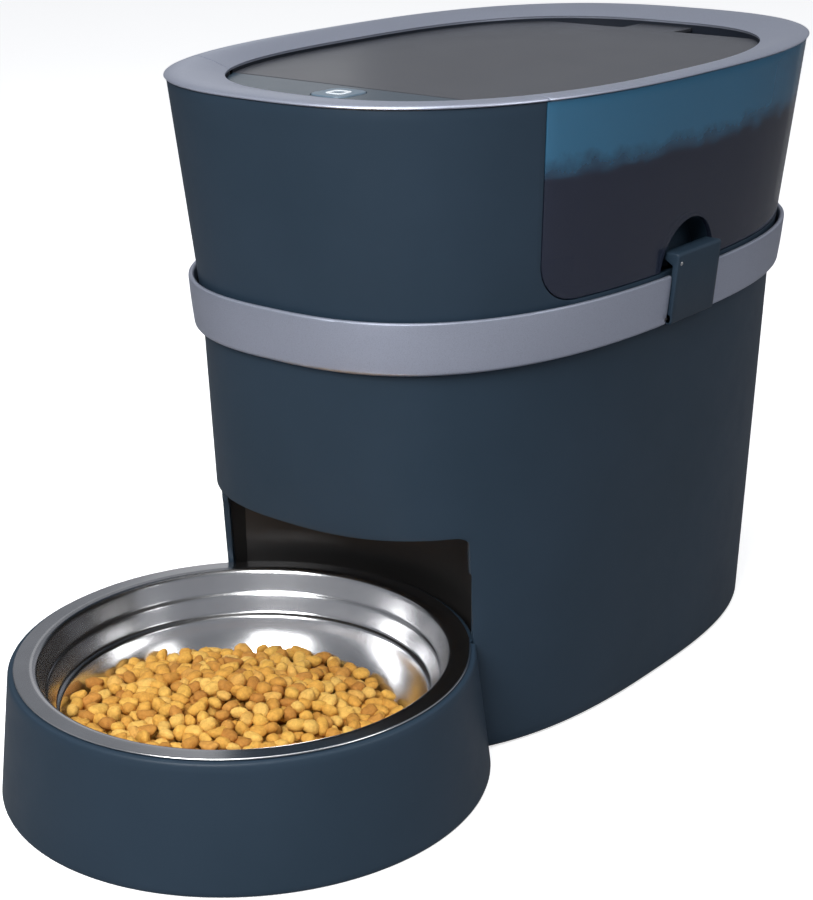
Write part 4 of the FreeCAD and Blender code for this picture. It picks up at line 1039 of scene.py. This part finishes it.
def bowl_holder():
    wall, top, lip = HOLDER_WALL, HOLDER_HEIGHT, 1.2
    outline = [(0.0, 3.0), (HOLDER_FOOT - wall - 2.0, 3.0), (HOLDER_FOOT - wall, 2.4), (HOLDER_FOOT - wall, 0.5),
               (HOLDER_FOOT - 1.5, 0.3)]
    outline += [(holder_radius(z) - 0.6 * (1.2 - z) * (z < 1.2), z) for z in (0.6, 1.3)]
    outline += [(holder_radius(z), z) for z in levels(3.0, top - lip, 16)]
    outline += [(HOLDER_TOP - lip + radius, z) for radius, z in fan_points((0.0, top - lip), lip, 15, 90, 5)]
    outline += [(HOLDER_SEAT + 0.4, top), (HOLDER_SEAT, top - 0.4), (HOLDER_SEAT, top - wall),
                (HOLDER_TOP - wall - 1.0, top - wall)]
    outline += [(holder_radius(z) - wall, z) for z in levels(top - wall - 1.0, 7.0, 8)]
    outline += [(HOLDER_FOOT - wall - 3.0, 5.6), (0.0, 5.6)]
    holder = turned("bowl_holder_shell", outline, "housing_plastic", 640, holder_limit, (0.0, BOWL_Y))
    finish_piece(holder, "bowl_holder", "housing_plastic", "bowl_holder")


BOWL_INSIDE = [
    # round shoulder, upper wall, two small steps, lower wall and the wide curve into the floor
    (96.6, 60.15), (95.2, 59.8), (94.2, 59.0), (93.6, 57.9), (93.1, 56.4), (90.9, 50.0), (90.4, 48.9), (89.7, 48.2),
    (89.2, 47.2), (86.9, 41.0), (86.3, 39.6), (85.2, 38.9), (84.4, 38.2), (83.9, 37.0), (82.0, 31.5), (78.5, 25.0),
    (73.5, 18.8), (67.5, 13.6), (62.0, 10.6), (56.0, 9.2), (48.0, 9.0), (0.0, 9.0),
]


def smooth_outline(points, passes=2):
    """Round a chain of points by cutting its corners."""
    for _ in range(passes):
        cut = [points[0]]
        for start, end in zip(points, points[1:]):
            cut.append(tuple(0.75 * s + 0.25 * e for s, e in zip(start, end)))
            cut.append(tuple(0.25 * s + 0.75 * e for s, e in zip(start, end)))
        cut.append(points[-1])
        points = cut
    return points


def steel_bowl():
    """Pressed bowl with a wide flat flange that lies on the holder, turned as a thin sheet."""
    sheet, outer, top = 0.9, BOWL_RADIUS - 0.4, BOWL_TOP
    flange = [(outer - 0.5, top - sheet), (outer, top - 0.65), (outer, top - 0.35), (outer - 0.35, top),
              (outer - 1.2, top), (outer - 4.0, top), (97.6, top)]
    inside = smooth_outline(flange + BOWL_INSIDE)
    outside = []
    for index, (radius, z) in enumerate(inside):
        if radius > outer - 2.0 or index + 1 == len(inside):
            continue
        before, after = inside[index - 1], inside[index + 1]
        along = Vector((after[0] - before[0], after[1] - before[1])).normalized()
        outside.append((max(0.0, radius - sheet * along.y), z + sheet * along.x))
    outside.append((0.0, inside[-1][1] - sheet))
    outline = inside + outside[::-1] + [inside[0]]
    bowl = turned("steel_bowl_sheet", outline, "bowl_steel", 256, None, (0.0, BOWL_Y))
    sharpen(bowl.data, 60)
    finish_piece(bowl, "steel_bowl", "bowl_steel", "steel_bowl")


# ---- contents: dry food, which is not part of the feeder

def kibble_material(name):
    """Baked, slightly floury crust; each piece has its own shade."""
    tree, shader = new_material(name)
    place = object_place(tree)
    island = node(tree, "ShaderNodeNewGeometry").outputs["Random Per Island"]
    shade = ramp(tree, island, [(0.0, (0.48, 0.21, 0.04)), (0.25, (0.70, 0.36, 0.065)), (0.6, (0.80, 0.46, 0.09)),
                                (0.85, (0.87, 0.55, 0.14)), (1.0, (0.58, 0.26, 0.05))])
    crust = ramp(tree, noise(tree, 520.0, 5.0, 0.7, place), [(0.3, (0.72, 0.66, 0.6)), (0.65, (1.0, 1.0, 1.0))])
    mixed = node(tree, "ShaderNodeMix", data_type="RGBA", blend_type="MULTIPLY")
    mixed.inputs[0].default_value = 1.0
    link(tree, shade, mixed.inputs[6])
    link(tree, crust, mixed.inputs[7])
    link(tree, mixed.outputs[2], shader.inputs["Base Color"])
    link(tree, spread(tree, noise(tree, 300.0, 3.0, 0.6, place), 0.6, 0.85), shader.inputs["Roughness"])
    shader.inputs["Specular IOR Level"].default_value = 0.3
    add_bump(tree, shader, noise(tree, 600.0, 4.0, 0.7, place), 0.9, 0.0008)


def kibble_shapes(count, seed):
    """A few different pieces: flattened, lobed and bent pellets about 8 mm long."""
    chance = random.Random(seed)
    shapes = []
    for _ in range(count):
        form = bmesh.new()
        bmesh.ops.create_icosphere(form, subdivisions=2, radius=1.0)
        size = (chance.uniform(4.2, 5.2), chance.uniform(3.2, 4.0), chance.uniform(2.3, 3.1))
        lobes = chance.choice((2, 3))
        lobe_phase, lobe_size = chance.uniform(0, 6.28), chance.uniform(0.01, 0.06)
        bend = chance.uniform(-0.03, 0.06)
        waves = [([chance.gauss(0, 1.6) for _ in range(3)], chance.uniform(0, 6.28)) for _ in range(6)]
        corners = []
        for vertex in form.verts:
            x, y, z = vertex.co
            swell = 1 + lobe_size * math.cos(lobes * math.atan2(y, x) + lobe_phase)
            for wave, phase in waves:
                swell += 0.03 * math.sin(2.2 * (wave[0] * x + wave[1] * y + wave[2] * z) + phase)
            x, y, z = (math.copysign(abs(part) ** 0.93, part) * swell * half
                       for part, half in zip((x, y, z), size))
            corners.append((x, y, z + bend * x * x))
        faces = [[vertex.index for vertex in face.verts] for face in form.faces]
        form.free()
        shapes.append((numpy.array(corners), numpy.array(faces)))
    return shapes


def loose_food(name, places, shapes, chance, flatness, body):
    """One mesh of many loose pieces on a body; food isn't part of the feeder."""
    points, faces, total = [], [], 0
    for place in places:
        corners, triangles = chance.choice(shapes)
        tilt = flatness if chance.random() < 0.75 else 2.5
        axis = Vector([chance.gauss(0, 1) for _ in range(3)]).normalized()
        turn = Quaternion(axis, chance.uniform(-tilt, tilt)) @ Quaternion((0, 0, 1), chance.uniform(0, 6.28))
        turned_corners = corners @ numpy.array(turn.to_matrix()).T * chance.uniform(0.84, 1.08)
        points.append(turned_corners + numpy.array(place))
        faces.append(triangles + total)
        total += len(corners)
    mesh = bpy.data.meshes.new(name)
    mesh.from_pydata((numpy.concatenate(points) * MM).tolist(), [], numpy.concatenate(faces).tolist())
    mesh.shade_smooth()
    mesh.materials.append(MATERIALS["kibble"])
    food = add_to_scene(name, mesh)
    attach(food, body)


class Spacing:
    """Keeps chosen places at least a given distance apart."""

    def __init__(self, distance):
        self.distance = distance
        self.cells = {}

    def take(self, place):
        key = tuple(int(part // self.distance) for part in place)
        near = itertools.product(*((part - 1, part, part + 1) for part in key))
        for cell in near:
            for other in self.cells.get(cell, ()):
                if math.dist(place, other) < self.distance:
                    return False
        self.cells.setdefault(key, []).append(place)
        return True


def bowl_inner_radius(z):
    """Radius of the bowl's inside at a height."""
    for (r1, z1), (r0, z0) in zip(BOWL_INSIDE, BOWL_INSIDE[1:]):
        if z0 <= z <= z1 and z1 > z0:
            return r0 + (r1 - r0) * (z - z0) / (z1 - z0)
    return BOWL_INSIDE[0][0]


def heap_height(x, y):
    """Surface of the food in the bowl: a mound nearer the front, thinner at the back."""
    spread_radius = 80.0
    aside, forward = x / spread_radius, -(y - BOWL_Y) / spread_radius
    mound = 32.0 + 8.0 * forward - 3.0 * aside - 5.0 * aside ** 2
    peak = 11.0 * math.exp(-((x + 4) / 40.0) ** 2 - ((y - BOWL_Y - 4) / 38.0) ** 2)
    return mound + peak


def bowl_food(shapes):
    chance = random.Random(7)
    spacing, places = Spacing(5.6), []
    layers, tries, reach = 4, 4200, 88.0
    for layer in range(layers):
        for _ in range(tries):
            angle, distance = chance.uniform(0, 2 * math.pi), reach * math.sqrt(chance.random())
            x, y = distance * math.cos(angle), BOWL_Y + distance * math.sin(angle)
            z = heap_height(x, y) - 2.4 - layer * 4.0 + chance.uniform(-0.8, 1.6)
            inside = math.hypot(x, y - BOWL_Y) < bowl_inner_radius(max(10.0, z - 2)) - 3.8
            if z > 12.0 and inside and spacing.take((x, y, z)):
                places.append((x, y, z))
    loose_food("bowl_food", places, shapes, chance, 0.6, "steel_bowl")


FOOD_TOP = 280.0


def hopper_food(shapes):
    """Food that fills the tank to about three quarters: a solid mass with loose pieces on top."""
    chance = random.Random(11)
    steps, rows = 160, levels(SEAM_BOTTOM + 4.5, FOOD_TOP, 8)
    points = []
    for z in rows:
        for angle in levels(0.0, 2 * math.pi, steps)[:-1]:
            x, y = on_oval(upper_oval(z, 3.4), angle)
            points.append((x, max(y, TANK_FRONT_Y + 3.0), z))
    mass = closed_stack("hopper_food_mass", points, len(rows), steps, "kibble")
    for side in (-1, 1):
        cut_with(mass, pocket_cutter(side, 3.0))
        corner = block_object(side * 84.0, side * BEYOND_X, TANK_FRONT_Y - 1.0, seam_y(SEAM_BOTTOM) + 2.0,
                              SEAM_BOTTOM, SEAM_BOTTOM + SEAM_CORNER)
        cut_with(mass, corner)
    sharpen(mass.data)
    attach(mass, "hopper")
    a, b, middle, power = upper_oval(FOOD_TOP, 8.5)
    spacing, places, tries = Spacing(7.0), [], 5200
    finger_well_y, finger_well_half = 190.0, 75.0
    for _ in range(tries):
        share = math.sqrt(chance.random())
        x, y = on_oval((a * share, b * share, middle, power), chance.uniform(0, 2 * math.pi))
        z = FOOD_TOP + 1.2 + 1.6 * math.sin(x / 17) + 1.4 * math.sin(y / 23 + x / 31)
        clear = y > TANK_FRONT_Y + 8.6 and not (y > finger_well_y and abs(x) < finger_well_half)
        if clear and spacing.take((x, y, z)):
            places.append((x, y, z))
    loose_food("hopper_food", places, shapes, chance, 2.5, "hopper")


# ---- floor, light and camera

def seen_by_camera(tree, shown, hidden):
    """Grey level where the camera looks straight at a surface, and a colour for all other light."""
    choose = node(tree, "ShaderNodeMix", data_type="RGBA")
    choose.inputs[7].default_value = (shown, shown, shown, 1.0)
    if isinstance(hidden, tuple):
        choose.inputs[6].default_value = (*hidden, 1.0)
    else:
        link(tree, hidden, choose.inputs[6])
    link(tree, node(tree, "ShaderNodeLightPath").outputs["Is Camera Ray"], choose.inputs[0])
    return choose.outputs[2]


def stage_floor():
    """Plain white floor, which throws little light back at the feeder's sides."""
    tree, shader = new_material("floor")
    link(tree, seen_by_camera(tree, 0.9, (0.26, 0.26, 0.27)), shader.inputs["Base Color"])
    shader.inputs["Roughness"].default_value = 0.8
    shader.inputs["Specular IOR Level"].default_value = 0.0
    link(tree, seen_by_camera(tree, 0.65, (0.0, 0.0, 0.0)), shader.inputs["Emission Color"])
    shader.inputs["Emission Strength"].default_value = 1.0
    reach = 6000.0
    corners = [(-reach, -reach, 0), (reach, -reach, 0), (reach, reach, 0), (-reach, reach, 0)]
    floor = make_object("floor", corners, [(0, 1, 2, 3)], "floor")


def world_light():
    """Dim grey studio round the feeder, with a plain white backdrop for the camera."""
    world = bpy.data.worlds.new("studio")
    bpy.context.scene.world = world
    world.use_nodes = True
    tree = world.node_tree
    background = tree.nodes["Background"]
    split = node(tree, "ShaderNodeSeparateXYZ")
    link(tree, node(tree, "ShaderNodeTexCoord").outputs["Generated"], split.inputs["Vector"])
    studio = ramp(tree, split.outputs["Z"], [(0.0, (0.26, 0.27, 0.29)), (0.25, (0.29, 0.30, 0.33)),
                                             (0.5, (0.20, 0.21, 0.23)), (1.0, (0.30, 0.31, 0.33))])
    across = node(tree, "ShaderNodeMapRange", {"From Min": -1.0, "From Max": 1.0})
    link(tree, split.outputs["X"], across.inputs["Value"])
    dim = ramp(tree, across.outputs["Result"], [(0.0, (0.35, 0.35, 0.35)), (0.1, (1.0, 1.0, 1.0))])
    dimmed = node(tree, "ShaderNodeMix", {0: 1.0}, data_type="RGBA", blend_type="MULTIPLY")
    link(tree, studio, dimmed.inputs[6])
    link(tree, dim, dimmed.inputs[7])
    link(tree, seen_by_camera(tree, 1.0, dimmed.outputs[2]), background.inputs["Color"])
    background.inputs["Strength"].default_value = 1.0


def place_round(target, azimuth, elevation, distance):
    """Point at a distance from a target; azimuth 0 is in front of the bowl, positive towards +X."""
    az, el = math.radians(azimuth), math.radians(elevation)
    outward = Vector((math.sin(az) * math.cos(el), -math.cos(az) * math.cos(el), math.sin(el)))
    return target + distance * outward


def area_light(name, azimuth, elevation, distance, width, height, power, target=(0.0, 0.0, 0.16)):
    """Soft light aimed at the feeder, or at another target."""
    target = Vector(target)
    place = place_round(target, azimuth, elevation, distance)
    data = bpy.data.lights.new(name, "AREA")
    data.shape = "RECTANGLE"
    data.size, data.size_y = width, height
    data.energy = power
    lamp = add_to_scene(name, data)
    lamp.location = place
    lamp.rotation_euler = (target - place).to_track_quat("-Z", "Y").to_euler()


def lights():
    area_light("key", 14, 36, 1.3, 0.7, 0.8, 19, (0.0, 0.0, 0.26))
    area_light("side", 100, 35, 2.0, 0.7, 1.3, 9)
    area_light("left", -75, 35, 2.0, 0.7, 1.3, 0.5)
    area_light("top", 20, 80, 1.6, 0.9, 1.3, 8)
    area_light("back", 226, 20, 2.0, 0.35, 0.9, 0.25)


def camera():
    target = Vector((0.0, 0.006, 0.130))
    place = place_round(target, 37.9, 18.88, 0.9838)
    roll = math.radians(-0.47)
    data = bpy.data.cameras.new("camera")
    data.sensor_fit = "VERTICAL"
    data.sensor_height = 36.0
    data.lens = 78.27
    data.shift_x, data.shift_y = -0.0313, -0.0293
    data.clip_start, data.clip_end = 0.01, 50.0
    eye = add_to_scene("camera", data)
    eye.location = place
    aim = (target - place).to_track_quat("-Z", "Y")
    eye.rotation_euler = (aim @ Quaternion((0, 0, 1), roll)).to_euler()
    bpy.context.scene.camera = eye


# ---- everything together

lower_housing()
alcove_lining()
front_shell()
tank()
trim_band()
rims()
control_panel()
feed_button()
lid()
for hand, latch_name in ((1, "latch_right"), (-1, "latch_left")):
    latch(hand, latch_name)
bowl_holder()
steel_bowl()
food_shapes = kibble_shapes(14, 3)
kibble_material("kibble")
bowl_food(food_shapes)
hopper_food(food_shapes)
stage_floor()
world_light()
lights()
camera()
bpy.context.scene.view_settings.view_transform = "Standard"
